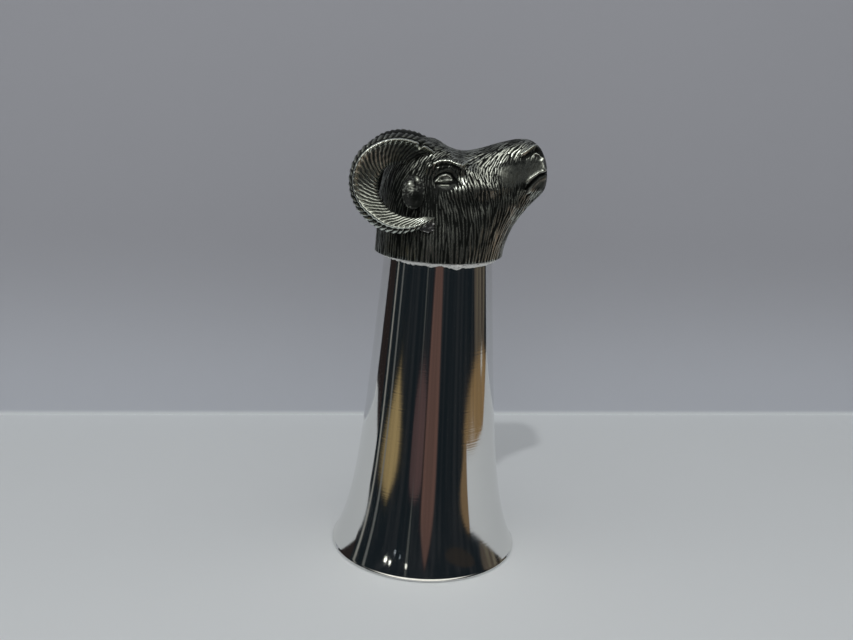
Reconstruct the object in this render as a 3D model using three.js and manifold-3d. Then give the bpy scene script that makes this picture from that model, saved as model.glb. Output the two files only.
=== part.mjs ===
// A pewter stirrup cup. A spun, flared beaker stands on its mouth, and a cast ram's head is soldered
// over its closed end, so the cup can only be put down when it is empty.
// Millimetres, +Z up. The origin is the centre of the mouth, on the surface that the cup stands on.
// The ram looks along +X, so its right side is at -Y.

import * as THREE from "three";
import { LoftGeometry } from "three/addons/geometries/LoftGeometry.js";
import { mergeVertices } from "three/addons/utils/BufferGeometryUtils.js";
import Module from "manifold-3d";

const wasm = await Module();
wasm.setup();

// Fits
const SOLDER_GAP = 0.3; // room for solder between two pieces

// Beaker
const MOUTH_RADIUS = 31.6; // outside of the lip
const SEAM_RADIUS = 17.4; // outside of the wall at the seam, where the neck's lower edge is
const SEAM_HEIGHT = 101; // from the mouth to the seam
const BEAKER_TAPER = 0.078; // gain in radius for each millimetre below the seam
const FLARE_REACH = 14; // height over which the flare falls to about a third
const BEAKER_WALL = 1.3;
const BEAKER_FLOOR = 1.6;
const LIP_ROUND = 0.3; // radius of the lip's two edges
const SPIGOT_LENGTH = 9; // length of the closed end inside the neck
const SPIGOT_ROUND = 2.6; // radius of the closed end's corner

// Head. Heights on the head are measured from the seam.
const NECK_WALL = 2.7;
const NECK_RADIUS = SEAM_RADIUS + SOLDER_GAP + NECK_WALL;
const CORE_RISE = 14.7; // hollow that the casting core leaves in the neck, above the beaker's end
const EYE_RADIUS = 2.1;
const EYE_PLACE = new THREE.Vector2(1.1, 25.2); // x, z
const EYE_SINK = 1.2; // depth of the eyeball's centre under the cheek
const NOSTRIL_RADIUS = 1.3;
const NOSTRIL_TILT = 35; // degrees, down towards the front
const NOSTRIL_PLACE = new THREE.Vector2(NECK_RADIUS + 9.8, 32.6);
const MOUTH_CORNER = new THREE.Vector2(NECK_RADIUS + 5.8, 22.4);
const MOUTH_FRONT = new THREE.Vector2(NECK_RADIUS + 15.8, 28.2);
const MOUTH_OPENING = 0.9; // between the lips, clear of the muzzle
const MOUTH_BOW = 1.6; // rise of the mouth's line above a straight one, at a bend half way

// Horns
const HORN_CENTRE = new THREE.Vector2(8 - NECK_RADIUS, 23.2); // x, z of the middle of the curl
const HORN_RADIUS = 15; // outside of the curl, before the stations' own share of it
const HORN_KEEL_BAND = 1.7; // width of the band outside the keel
const HORN_START = 24; // degrees above +X, where the horn leaves the brow
const HORN_SWEEP = 295; // degrees, back over the poll and round to the cheek
const HORN_RIDGES = 40;
const HORN_RIDGE_DEPTH = 0.35;
const HORN_PEG_RADIUS = 1.9;
const HORN_PEG_DEPTH = 7; // from the middle of the horn's root into the skull
const HORN_PEG_STATION = 0.15; // share of the horn's length, from its root
const HORN_TIP_FADE = 8; // rings before the tip over which the ridges die out

// Ears
const EAR_ROOT = HORN_CENTRE.clone().add(new THREE.Vector2(3.8, 2.6)); // x, z
const EAR_LENGTH = 11;
const EAR_WIDTH = 6.8;
const EAR_THICKNESS = 1.6;
const EAR_CUP = 0.9; // depth of the hollow in its outer face
const EAR_SPLAY = 25; // degrees that the ear stands out from the cheek
const EAR_TANG_RADIUS = 1.1;
const EAR_TANG_DEPTH = 3.5;

// Solder
const BEAD_HEIGHT = 2;
const BEAD_REACH = 2.1; // from the beaker's wall outwards, below the neck
const BEAD_LUMPS = [[3, 0.07], [7, 0.06], [13, 0.04]]; // waves round the bead, and their share of its size
const TACK_RADIUS = 2.3;
const TACK_STATION = 0.97; // share of the horn's length, from its root

// Fineness of the faceted surfaces
const BEAKER_SEGMENTS = 48;
const BEAKER_RINGS = 11;
const CORNER_STEPS = 4;
const HEAD_SECTIONS = 50;
const HEAD_POINTS = 44;
const EAR_RINGS = 10;
const EAR_POINTS = 12;
const BEAD_SEGMENTS = 48;

const DEG = Math.PI / 180;
const RIGHT = -1;
const LEFT = 1;

const PEWTER_POLISHED = { color: 0xc9c9c6, metalness: 1, roughness: 0.08 };
const PEWTER_ANTIQUED = { color: 0x4a4a46, metalness: 1, roughness: 0.38 };
const SOLDER = { color: 0xb9bab6, metalness: 1, roughness: 0.45 };

// Solids

function solidOf(geometry) {
  const bare = new THREE.BufferGeometry();
  bare.setAttribute("position", geometry.getAttribute("position").clone());
  bare.setIndex(geometry.index);
  const merged = mergeVertices(bare, 1e-4);
  return new wasm.Manifold(
    new wasm.Mesh({
      numProp: 3,
      vertProperties: merged.getAttribute("position").array,
      triVerts: new Uint32Array(merged.index.array),
    }),
  );
}

function meshOf(name, solid, finish) {
  const { vertProperties, triVerts } = solid.getMesh();
  const geometry = new THREE.BufferGeometry();
  geometry.setAttribute("position", new THREE.BufferAttribute(vertProperties, 3));
  geometry.setIndex(new THREE.BufferAttribute(triVerts, 1));
  geometry.computeVertexNormals();
  const mesh = new THREE.Mesh(geometry, new THREE.MeshStandardMaterial(finish));
  mesh.name = name;
  return mesh;
}

function latheSolid(profile, segments) {
  return solidOf(new THREE.LatheGeometry(profile, segments).rotateX(Math.PI / 2));
}

function loftSolid(sections) {
  return solidOf(new LoftGeometry(sections, { capStart: true, capEnd: true }));
}

// A round peg along Y, from a point on one side of the head towards its middle.
function pegSolid({ start, side, radius, depth }) {
  const peg = new THREE.CylinderGeometry(radius, radius, depth, 16);
  return solidOf(peg.translate(start.x, start.y - (side * depth) / 2, start.z));
}

// The hole for a peg, open to the outside.
function socketSolid({ start, side, radius, depth }) {
  return pegSolid({
    start: start.clone().setY(start.y + side * NECK_RADIUS),
    side,
    radius: radius + SOLDER_GAP,
    depth: depth + NECK_RADIUS + SOLDER_GAP,
  });
}

// Points of a quarter circle from angle to angle, in degrees.
function corner(centreRadius, centreHeight, radius, from, to) {
  return Array.from({ length: CORNER_STEPS + 1 }, (_, i) => {
    const angle = (from + ((to - from) * i) / CORNER_STEPS) * DEG;
    return new THREE.Vector2(
      centreRadius + radius * Math.cos(angle),
      centreHeight + radius * Math.sin(angle),
    );
  });
}

// Beaker: one spun shell, with its wall, its flared lip and its closed end

function beakerRadius(height) {
  const straight = SEAM_RADIUS + BEAKER_TAPER * (SEAM_HEIGHT - height);
  const flare = MOUTH_RADIUS - SEAM_RADIUS - BEAKER_TAPER * SEAM_HEIGHT;
  return straight + flare * Math.exp(-height / FLARE_REACH);
}

// Heights along the wall, closer together where it flares.
function wallHeights(from, to) {
  const last = BEAKER_RINGS - 1;
  return Array.from({ length: BEAKER_RINGS }, (_, i) => from + (to - from) * (i / last) ** 1.7);
}

function beakerSolid() {
  const top = SEAM_HEIGHT + SPIGOT_LENGTH;
  const shoulder = top - SPIGOT_ROUND;
  const innerTop = top - BEAKER_FLOOR;
  const innerRound = Math.max(SPIGOT_ROUND - BEAKER_WALL, LIP_ROUND);
  const innerShoulder = innerTop - innerRound;
  const outer = wallHeights(LIP_ROUND, shoulder);
  const inner = wallHeights(LIP_ROUND, innerShoulder);
  const profile = [
    new THREE.Vector2(0, innerTop),
    ...corner(beakerRadius(innerShoulder) - BEAKER_WALL - innerRound, innerShoulder, innerRound, 90, 0),
    ...inner.toReversed().slice(1).map((z) => new THREE.Vector2(beakerRadius(z) - BEAKER_WALL, z)),
    new THREE.Vector2(beakerRadius(0) - BEAKER_WALL + LIP_ROUND, 0),
    new THREE.Vector2(beakerRadius(0) - LIP_ROUND, 0),
    ...outer.slice(0, -1).map((z) => new THREE.Vector2(beakerRadius(z), z)),
    ...corner(beakerRadius(shoulder) - SPIGOT_ROUND, shoulder, SPIGOT_ROUND, 0, 90),
    new THREE.Vector2(0, top),
  ];
  return latheSolid(profile, BEAKER_SEGMENTS);
}

// Head: sections from the neck's round foot to the muzzle. Each one spans from a point on the line of
// nape, poll and nose to a point on the line of throat and jaw, both as x and z in the side view.

const BACK = -NECK_RADIUS;
const FRONT = NECK_RADIUS;
const HEAD_STATIONS = [
  { nape: [BACK, 0], throat: [FRONT, 0], halfWidth: NECK_RADIUS, fullness: 2 },
  { nape: [BACK + 0.2, 5.5], throat: [FRONT + 0.3, 2.6], halfWidth: NECK_RADIUS - 0.2, fullness: 2.05 },
  { nape: [BACK + 0.4, 12], throat: [FRONT + 1, 5.4], halfWidth: NECK_RADIUS - 0.9, fullness: 2.1 },
  { nape: [BACK + 0.8, 19], throat: [FRONT + 1.9, 8], halfWidth: NECK_RADIUS - 1.9, fullness: 2.2 },
  { nape: [BACK + 2.4, 26], throat: [FRONT + 2.8, 10], halfWidth: NECK_RADIUS - 3, fullness: 2.3 },
  { nape: [BACK + 6.2, 32], throat: [FRONT + 3.7, 11.6], halfWidth: NECK_RADIUS - 4.2, fullness: 2.4 },
  { nape: [BACK + 11.6, 35.6], throat: [FRONT + 4.5, 12.9], halfWidth: 15.2, fullness: 2.5 },
  { nape: [-3.4, 35.9], throat: [FRONT + 5.2, 13.9], halfWidth: 14.4, fullness: 2.5 },
  { nape: [1.4, 33.5], throat: [FRONT + 5.9, 14.8], halfWidth: 13.6, fullness: 2.5 },
  { nape: [6, 32.6], throat: [FRONT + 6.5, 15.6], halfWidth: 12.4, fullness: 2.5 },
  { nape: [11.5, 33.7], throat: [FRONT + 7.3, 16.5], halfWidth: 11, fullness: 2.5 },
  { nape: [FRONT - 2.9, 35.7], throat: [FRONT + 8.4, 17.8], halfWidth: 9.8, fullness: 2.5 },
  { nape: [FRONT + 2.6, 37.1], throat: [FRONT + 9.8, 19.2], halfWidth: 9, fullness: 2.4 },
  { nape: [FRONT + 6.9, 36.8], throat: [FRONT + 11, 20.5], halfWidth: 8.4, fullness: 2.3 },
  { nape: [FRONT + 9.5, 35], throat: [FRONT + 11.8, 21.8], halfWidth: 7.6, fullness: 2.2 },
  { nape: [FRONT + 11.2, 32.2], throat: [FRONT + 12.3, 23.8], halfWidth: 5.8, fullness: 2.1 },
  { nape: [FRONT + 12.1, 29.2], throat: [FRONT + 12.4, 26.6], halfWidth: 2.2, fullness: 2 },
];

const napeLine = new THREE.CatmullRomCurve3(
  HEAD_STATIONS.map(({ nape, halfWidth }) => new THREE.Vector3(nape[0], halfWidth, nape[1])),
);
const throatLine = new THREE.CatmullRomCurve3(
  HEAD_STATIONS.map(({ throat, fullness }) => new THREE.Vector3(throat[0], fullness, throat[1])),
);

// Soft ridges and hollows of the face: a line from place to place in the side view, how far its
// middle stands out, and how wide it is.
const FACE_FORMS = [
  { name: "brow", from: [-3.6, 28.2], to: [4.6, 29.4], height: 1.5, width: 1.9 },
  { name: "inner brow", from: [4.6, 29.2], to: [8.6, 26.6], height: 0.7, width: 1.7 },
  { name: "eye socket", from: [-0.8, 24.8], to: [3.2, 25.6], height: -1.3, width: 2.4 },
  { name: "cheekbone", from: [2.5, 21.4], to: [17, 23.6], height: 0.9, width: 2.6 },
  { name: "jaw hollow", from: [11, 17.6], to: [FRONT + 0.6, 20.4], height: -0.7, width: 2.6 },
  { name: "muzzle waist", from: [FRONT + 1.1, 31.5], to: [FRONT + 4.1, 23.5], height: -0.6, width: 2.2 },
  { name: "upper lip", from: [FRONT + 6.1, 25.2], to: [FRONT + 10.6, 28.4], height: 0.6, width: 1.5 },
  { name: "chin", from: [FRONT + 7.6, 22], to: [FRONT + 10.6, 24], height: 0.5, width: 1.2 },
];

function distanceToLine(x, z, [fromX, fromZ], [toX, toZ]) {
  const line = new THREE.Line3(new THREE.Vector3(fromX, 0, fromZ), new THREE.Vector3(toX, 0, toZ));
  const point = new THREE.Vector3(x, 0, z);
  return line.closestPointToPoint(point, true, new THREE.Vector3()).distanceTo(point);
}

function faceRelief(x, z) {
  return FACE_FORMS.reduce((sum, { from, to, height, width }) => {
    return sum + height * Math.exp(-((distanceToLine(x, z, from, to) / width) ** 2));
  }, 0);
}

// One section of the head at a share of its length, grown outwards by a margin.
function headSection(share, margin) {
  const nape = napeLine.getPoint(share);
  const throat = throatLine.getPoint(share);
  const halfWidth = nape.y;
  const power = 2 / throat.y;
  const top = new THREE.Vector3(nape.x, 0, nape.z);
  const bottom = new THREE.Vector3(throat.x, 0, throat.z);
  const middle = top.clone().add(bottom).multiplyScalar(0.5);
  const up = top.clone().sub(middle);
  const halfHeight = up.length();
  up.normalize();
  return Array.from({ length: HEAD_POINTS }, (_, i) => {
    const angle = (i / HEAD_POINTS) * 2 * Math.PI;
    const along = Math.sign(Math.cos(angle)) * Math.abs(Math.cos(angle)) ** power * halfHeight;
    const across = -Math.sign(Math.sin(angle)) * Math.abs(Math.sin(angle)) ** power * halfWidth;
    const offset = up.clone().multiplyScalar(along).setY(across);
    const place = middle.clone().add(offset);
    const onFlank = Math.abs(Math.sin(angle));
    const relief = faceRelief(place.x, place.z) * onFlank;
    return place.add(offset.setLength(relief + margin));
  });
}

function headOuterSolid(margin) {
  const sections = Array.from({ length: HEAD_SECTIONS }, (_, i) => {
    return headSection(i / (HEAD_SECTIONS - 1), margin);
  });
  return loftSolid(sections);
}

const headOuter = headOuterSolid(0);
const headGrown = headOuterSolid(SOLDER_GAP);

// Distance of the head's flank from the middle plane at a place in the side view.
const headMesh = meshOf("head", headOuter, PEWTER_ANTIQUED);

function flankAt(x, z) {
  const outside = new THREE.Vector3(x, 4 * NECK_RADIUS, z);
  const hits = new THREE.Raycaster(outside, new THREE.Vector3(0, -1, 0)).intersectObject(headMesh);
  return hits[0].point.y;
}

// The hollow in the neck: a socket for the beaker's closed end, with a dome over it.
function coreSolid() {
  const socketTop = SPIGOT_LENGTH + SOLDER_GAP;
  const domeTop = socketTop + CORE_RISE;
  const socketRadius = (height) => beakerRadius(SEAM_HEIGHT + height) + SOLDER_GAP;
  const below = -BEAD_HEIGHT;
  const dome = Array.from({ length: 7 }, (_, i) => {
    const angle = (i / 7) * 90 * DEG;
    return new THREE.Vector2(
      socketRadius(socketTop) * Math.cos(angle),
      socketTop + CORE_RISE * Math.sin(angle),
    );
  });
  const profile = [
    new THREE.Vector2(0, below),
    new THREE.Vector2(socketRadius(below), below),
    new THREE.Vector2(socketRadius(0), 0),
    ...dome,
    new THREE.Vector2(0, domeTop),
  ];
  return latheSolid(profile, BEAKER_SEGMENTS);
}

function eyeSolid(side) {
  const eye = new THREE.SphereGeometry(EYE_RADIUS, 16, 12);
  const depth = flankAt(EYE_PLACE.x, EYE_PLACE.y) - EYE_SINK;
  return solidOf(eye.translate(EYE_PLACE.x, side * depth, EYE_PLACE.y));
}

function nostrilSolid(side) {
  const nostril = new THREE.SphereGeometry(NOSTRIL_RADIUS, 12, 8).scale(1.5, 1, 0.8);
  const depth = flankAt(NOSTRIL_PLACE.x, NOSTRIL_PLACE.y);
  nostril.rotateY(-NOSTRIL_TILT * DEG);
  return solidOf(nostril.translate(NOSTRIL_PLACE.x, side * depth, NOSTRIL_PLACE.y));
}

// The line of the mouth: a thin curved wedge cut through the muzzle from side to side.
function mouthSolid() {
  const bend = MOUTH_CORNER.clone().add(MOUTH_FRONT).multiplyScalar(0.5);
  bend.y += MOUTH_BOW;
  const half = MOUTH_OPENING / 2;
  const lip = new THREE.Shape()
    .moveTo(MOUTH_CORNER.x, MOUTH_CORNER.y)
    .quadraticCurveTo(bend.x, bend.y - half, MOUTH_FRONT.x, MOUTH_FRONT.y - half)
    .lineTo(MOUTH_FRONT.x, MOUTH_FRONT.y + half)
    .quadraticCurveTo(bend.x, bend.y + half, MOUTH_CORNER.x, MOUTH_CORNER.y);
  const width = 2 * NECK_RADIUS;
  const blade = new THREE.ExtrudeGeometry(lip, { depth: width, bevelEnabled: false, curveSegments: 6 });
  return solidOf(blade.translate(0, 0, -width / 2).rotateX(Math.PI / 2));
}

// Horns: a ridged, keeled section swept round a curl that leans outwards from poll to tip

// Corners of the section. The first number goes from the inside of the curl at 0 to the keel at 1 and to
// the outside at 2. The second is a share of the half width, from the head outwards.
const HORN_SECTION = [
  [1, 1],
  [1.7, 0.62],
  [2, 0.05],
  [1.5, -0.6],
  [0.7, -1],
  [0.2, -0.9],
  [0, -0.55],
  [0.08, -0.1],
  [0.36, 0.25],
  [0.68, 0.62],
];
const RIDGED_CORNERS = [1, 2, 3, 7, 8, 9];

// From the root to the tip: the share of the curl's radius, the section's depth and half width, and its
// distance from the middle plane.
const HORN_STATIONS = [
  { curl: 1.02, depth: 8, halfWidth: 3.2, out: NECK_RADIUS - 14.2 },
  { curl: 0.95, depth: 9.2, halfWidth: 4.8, out: NECK_RADIUS - 9.8 },
  { curl: 0.99, depth: 9.3, halfWidth: 4.7, out: NECK_RADIUS - 6.4 },
  { curl: 1.05, depth: 9.2, halfWidth: 4.3, out: NECK_RADIUS - 3.4 },
  { curl: 1.03, depth: 8.3, halfWidth: 3.8, out: NECK_RADIUS - 1.2 },
  { curl: 0.99, depth: 7, halfWidth: 3.2, out: NECK_RADIUS + 0.2 },
  { curl: 0.97, depth: 5.2, halfWidth: 2.4, out: NECK_RADIUS + 0.8 },
  { curl: 0.94, depth: 1.6, halfWidth: 0.8, out: NECK_RADIUS + 0.6 },
];
const hornWidths = new THREE.CatmullRomCurve3(
  HORN_STATIONS.map(({ depth, halfWidth, out }) => new THREE.Vector3(depth, halfWidth, out)),
);
const hornCurl = new THREE.SplineCurve(HORN_STATIONS.map(({ curl }, i) => new THREE.Vector2(i, curl)));

function hornSection(share, side, ridge, margin) {
  const { x: depth, y: halfWidth, z: out } = hornWidths.getPoint(share);
  const outside = HORN_RADIUS * hornCurl.getPoint(share).y;
  const angle = (HORN_START + HORN_SWEEP * share) * DEG;
  const band = Math.min(HORN_KEEL_BAND, depth * 0.3); // narrower towards the tip
  const points = HORN_SECTION.map(([level, reach], i) => {
    const swell = margin + (RIDGED_CORNERS.includes(i) ? ridge : 0);
    const inset = level > 1 ? band * (2 - level) : band + (depth - band) * (1 - level);
    const radius = outside - inset + swell * (level - 1);
    const lateral = out + halfWidth * reach + swell * reach;
    return new THREE.Vector3(
      HORN_CENTRE.x + radius * Math.cos(angle),
      side * lateral,
      HORN_CENTRE.y + radius * Math.sin(angle),
    );
  });
  return side === RIGHT ? points : points.reverse();
}

function hornSweepSolid(side, margin) {
  const rings = 2 * HORN_RIDGES;
  const sections = Array.from({ length: rings + 1 }, (_, i) => {
    const fade = Math.min(1, (rings - i) / HORN_TIP_FADE);
    const ridge = (i % 2 ? HORN_RIDGE_DEPTH / 2 : -HORN_RIDGE_DEPTH / 2) * fade;
    return hornSection(i / rings, side, ridge, margin);
  });
  return loftSolid(sections);
}

function hornMiddle(share, side) {
  const section = hornSection(share, side, 0, 0);
  return section.reduce((sum, p) => sum.add(p), new THREE.Vector3()).divideScalar(section.length);
}

function hornPeg(side) {
  const start = hornMiddle(HORN_PEG_STATION, side);
  return { start, side, radius: HORN_PEG_RADIUS, depth: HORN_PEG_DEPTH };
}

function hornSolid(side) {
  return hornSweepSolid(side, 0).subtract(headGrown).add(pegSolid(hornPeg(side)));
}

// Ears: a cupped leaf that hangs beside the cheek inside the horn's curl

// Rings of the leaf from its root down to its rounded tip, thinner and then narrower on the way.
function earSections(side) {
  return Array.from({ length: EAR_RINGS + 1 }, (_, i) => {
    const share = i / EAR_RINGS;
    const leaf = 0.24 + 0.76 * Math.sin(Math.PI * (0.12 + 0.84 * share)) ** 0.8;
    const halfWidth = (EAR_WIDTH / 2) * leaf;
    const cup = EAR_CUP * Math.sin(Math.PI * share);
    const halfThickness = (EAR_THICKNESS / 2) * (1 - 0.55 * share);
    const points = Array.from({ length: EAR_POINTS }, (_, j) => {
      const angle = (j / EAR_POINTS) * 2 * Math.PI;
      const across = Math.cos(angle);
      const out = halfThickness * Math.sin(angle) - cup * (1 - across ** 2);
      return new THREE.Vector3(halfWidth * across, side * out, -EAR_LENGTH * share);
    });
    return side === RIGHT ? points : points.reverse();
  });
}

function earPlace(side) {
  const out = flankAt(EAR_ROOT.x, EAR_ROOT.y) + EAR_THICKNESS / 2;
  return new THREE.Vector3(EAR_ROOT.x, side * out, EAR_ROOT.y);
}

function earTang(side) {
  const start = earPlace(side);
  start.y -= side * (EAR_THICKNESS / 4);
  start.z -= EAR_TANG_RADIUS;
  return { start, side, radius: EAR_TANG_RADIUS, depth: EAR_TANG_DEPTH };
}

function earSolid(side) {
  const turn = new THREE.Matrix4().makeRotationX(side * EAR_SPLAY * DEG).setPosition(earPlace(side));
  const leaf = earSections(side).map((ring) => ring.map((point) => point.applyMatrix4(turn)));
  return loftSolid(leaf)
    .subtract(headGrown)
    .subtract(hornSweepSolid(side, SOLDER_GAP))
    .add(pegSolid(earTang(side)));
}

// Solder: an uneven bead under the neck and a drop that holds each horn's tip to the cheek

function beadSolid() {
  const sections = Array.from({ length: BEAD_SEGMENTS + 1 }, (_, i) => {
    const angle = ((i % BEAD_SEGMENTS) / BEAD_SEGMENTS) * 2 * Math.PI;
    const lump = BEAD_LUMPS.reduce((sum, [count, size]) => sum + size * Math.sin(count * angle + count), 0);
    const height = BEAD_HEIGHT * (1 + lump);
    const reach = BEAD_REACH * (1 + lump);
    const wall = (z) => beakerRadius(SEAM_HEIGHT + z) + SOLDER_GAP;
    const top = -SOLDER_GAP;
    const outline = [
      [wall(top), top],
      [wall(top) + reach, top],
      [wall(top) + reach * 0.95, -height * 0.45],
      [wall(top) + reach * 0.55, -height * 0.9],
      [wall(-height) + 0.1, -height],
    ];
    return outline.map(([radius, z]) => {
      return new THREE.Vector3(radius * Math.cos(angle), radius * Math.sin(angle), z);
    });
  });
  return solidOf(new LoftGeometry(sections));
}

function tackSolid(side) {
  const tip = hornMiddle(TACK_STATION, side);
  const drop = new THREE.SphereGeometry(TACK_RADIUS, 14, 10).scale(1.3, 0.9, 1);
  const flank = flankAt(tip.x, tip.z - TACK_RADIUS);
  const place = new THREE.Vector3(tip.x, side * flank, tip.z - TACK_RADIUS);
  return solidOf(drop.translate(place.x, place.y, place.z))
    .subtract(headGrown)
    .subtract(hornSweepSolid(side, SOLDER_GAP));
}

function headSolid() {
  const cuts = [coreSolid(), mouthSolid()];
  const eyes = [];
  for (const side of [RIGHT, LEFT]) {
    eyes.push(eyeSolid(side));
    cuts.push(nostrilSolid(side), socketSolid(hornPeg(side)), socketSolid(earTang(side)));
  }
  const full = eyes.reduce((head, eye) => head.add(eye), headOuter);
  return cuts.reduce((head, cut) => head.subtract(cut), full);
}

// Assembly

const ram = new THREE.Group();
ram.position.z = SEAM_HEIGHT;
ram.add(meshOf("head_casting", headSolid(), PEWTER_ANTIQUED));
ram.add(meshOf("neck_solder_bead", beadSolid(), SOLDER));
for (const [word, side] of [["right", RIGHT], ["left", LEFT]]) {
  ram.add(meshOf(`${word}_horn`, hornSolid(side), PEWTER_ANTIQUED));
  ram.add(meshOf(`${word}_ear`, earSolid(side), PEWTER_ANTIQUED));
  ram.add(meshOf(`${word}_horn_tack`, tackSolid(side), SOLDER));
}

const stirrupCup = new THREE.Group();
stirrupCup.add(meshOf("beaker_body", beakerSolid(), PEWTER_POLISHED));
stirrupCup.add(ram);

export default stirrupCup;
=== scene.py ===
"""A pewter stirrup cup: a spun beaker that stands on its mouth, with a cast ram's head on its closed end."""

import math

import bpy
import numpy as np
from bpy.props import FloatProperty, FloatVectorProperty, IntProperty, PointerProperty
from mathutils import Matrix, Vector, noise


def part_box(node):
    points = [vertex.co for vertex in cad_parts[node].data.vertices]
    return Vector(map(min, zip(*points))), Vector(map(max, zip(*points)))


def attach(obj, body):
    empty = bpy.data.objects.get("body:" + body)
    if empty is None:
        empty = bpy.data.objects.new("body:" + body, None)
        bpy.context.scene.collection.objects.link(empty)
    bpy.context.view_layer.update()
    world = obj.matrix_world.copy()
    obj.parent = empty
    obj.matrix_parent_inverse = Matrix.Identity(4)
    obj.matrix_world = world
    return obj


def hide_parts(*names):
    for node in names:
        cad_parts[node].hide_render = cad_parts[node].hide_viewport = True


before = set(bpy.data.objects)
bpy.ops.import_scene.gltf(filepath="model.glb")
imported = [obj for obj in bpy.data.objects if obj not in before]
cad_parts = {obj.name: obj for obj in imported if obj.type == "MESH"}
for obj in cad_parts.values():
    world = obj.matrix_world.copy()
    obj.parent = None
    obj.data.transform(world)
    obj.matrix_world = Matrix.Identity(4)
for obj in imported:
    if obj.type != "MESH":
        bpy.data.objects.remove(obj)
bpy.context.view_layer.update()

bl_info = {
    "name": "Ram's head stirrup cup",
    "version": (1, 0, 0),
    "blender": (4, 5, 0),
    "location": "3D View > Sidebar > Stirrup Cup",
    "description": "Makes a pewter stirrup cup piece by piece: beaker, ram's head, horns, ears and solder",
    "category": "Add Mesh",
}

# Lengths in the modelling code are millimetres. Blender's own are metres.
MM = 0.001
# How far the noise is shifted for each next seed.
SEED_STEP = (17.3, 5.1, 11.7)
SIDES = {"right": -1, "left": 1}


# Settings

def length(name, description, millimetres):
    return FloatProperty(
        name=name, description=description, default=millimetres * MM, unit="LENGTH", precision=5
    )


def swing(name, description, degrees):
    return FloatProperty(name=name, description=description, default=math.radians(degrees), subtype="ANGLE")


def whole(name, description, number):
    return IntProperty(name=name, description=description, default=number)


def colour(name, description, value):
    return FloatVectorProperty(
        name=name, description=description, default=value, subtype="COLOR", size=3, min=0, max=1
    )


class BeakerSettings(bpy.types.PropertyGroup):
    mouth_radius: length("Mouth radius", "Outside of the lip", 31.6)
    seam_radius: length("Seam radius", "Outside of the wall under the neck", 17.4)
    seam_height: length("Seam height", "From the mouth to the neck's lower edge", 101)
    flare_reach: length("Flare reach", "Height over which the flare falls to about a third", 14)
    wall: length("Wall", "Thickness of the spun wall", 1.3)
    floor: length("Closed end", "Thickness of the closed end", 1.6)
    spigot: length("Spigot", "Length of the closed end inside the neck", 9)
    corner: length("Corner", "Radius of the closed end's corner", 2.6)
    lip_round: length("Lip edge", "Radius of the lip's inner edge", 0.3)
    lip_roll: length("Lip roll", "Radius of the lip's rolled outer edge", 0.46)
    taper: FloatProperty(name="Taper", description="Gain in radius for each unit of height", default=0.078)
    segments: whole("Segments", "Points round the beaker", 224)


class HeadSettings(bpy.types.PropertyGroup):
    neck_radius: length("Neck radius", "Outside of the neck's lower edge", 20.4)
    core_rise: length("Core rise", "Hollow in the neck above the beaker's end", 14.7)
    clearance: length("Clearance", "Room for solder between two pieces", 0.3)
    stroke_gap: length("Stroke gap", "Least distance between neighbouring strokes", 0.72)
    rings: whole("Rings", "Rings from the neck to the muzzle", 330)
    columns: whole("Columns", "Points round each ring", 600)
    seed: whole("Seed", "Changes where the strokes of hair fall", 7)


class HornSettings(bpy.types.PropertyGroup):
    radius: length("Curl radius", "Outside of the curl", 15)
    keel_band: length("Keel band", "Width of the notched band outside the keel", 1.7)
    ridge_depth: length("Ridge depth", "Height of the ridges across the horn", 0.42)
    start: swing("Start", "Where the horn leaves the brow", 24)
    sweep: swing("Sweep", "Turn from root to tip", 295)
    ridges: whole("Ridges", "Ridges from root to tip", 40)


class EarSettings(bpy.types.PropertyGroup):
    length: length("Length", "From root to tip", 11)
    width: length("Width", "Across the widest part", 6.8)
    thickness: length("Thickness", "At the root", 1.6)
    cup: length("Cup", "Depth of the hollow in its outer face", 0.9)
    splay: swing("Splay", "Angle from the cheek", 25)


class SolderSettings(bpy.types.PropertyGroup):
    bead_height: length("Bead height", "Below the neck", 2)
    bead_reach: length("Bead reach", "From the beaker's wall outwards", 2.1)
    roughness: length("Lumps", "Unevenness of the solder's surface", 0.21)


class FinishSettings(bpy.types.PropertyGroup):
    polished: colour("Polished pewter", "Colour of the beaker", (0.80, 0.80, 0.785))
    worn: colour("Worn pewter", "Colour of the casting where it is rubbed bright", (0.69, 0.73, 0.66))
    patina: colour("Patina", "Colour of the casting's darkened hollows", (0.0045, 0.0056, 0.0047))
    solder: colour("Solder", "Colour of the solder", (0.74, 0.74, 0.715))


class StageSettings(bpy.types.PropertyGroup):
    floor: colour("Floor", "Colour of the floor", (0.75, 0.78, 0.79))
    backdrop: colour("Backdrop", "Colour of the backdrop", (0.37, 0.375, 0.405))
    edge: colour("Table edge", "Colour of the table's edge in the metal", (0.26, 0.175, 0.095))
    # Painted bounce light: the paler tone given to the backdrop near the floor.
    skirting: colour("Backdrop's foot", "Colour of the backdrop near the floor", (0.52, 0.54, 0.585))
    lens: FloatProperty(name="Lens", description="Focal length in millimetres", default=38.785)
    key_power: FloatProperty(name="Key", description="Power of the key lamp", default=1.15, unit="POWER")
    fill: FloatProperty(name="Fill", description="Strength of the soft light all round", default=0.6)


# Shader maths

class Shade:
    """A value in a node tree. Arithmetic on it adds Math nodes to the tree."""

    def __init__(self, bench, socket):
        self.bench = bench
        self.socket = socket

    def math(self, operation, *values):
        sockets = dict(enumerate(values))
        return self.bench.node("ShaderNodeMath", {"operation": operation}, sockets)[0]

    def __add__(self, other):
        return self.math("ADD", self, other)

    def __sub__(self, other):
        return self.math("SUBTRACT", self, other)

    def __rsub__(self, other):
        return self.math("SUBTRACT", other, self)

    def __mul__(self, other):
        return self.math("MULTIPLY", self, other)

    def __abs__(self):
        return self.math("ABSOLUTE", self)

    __radd__ = __add__
    __rmul__ = __mul__


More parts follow.
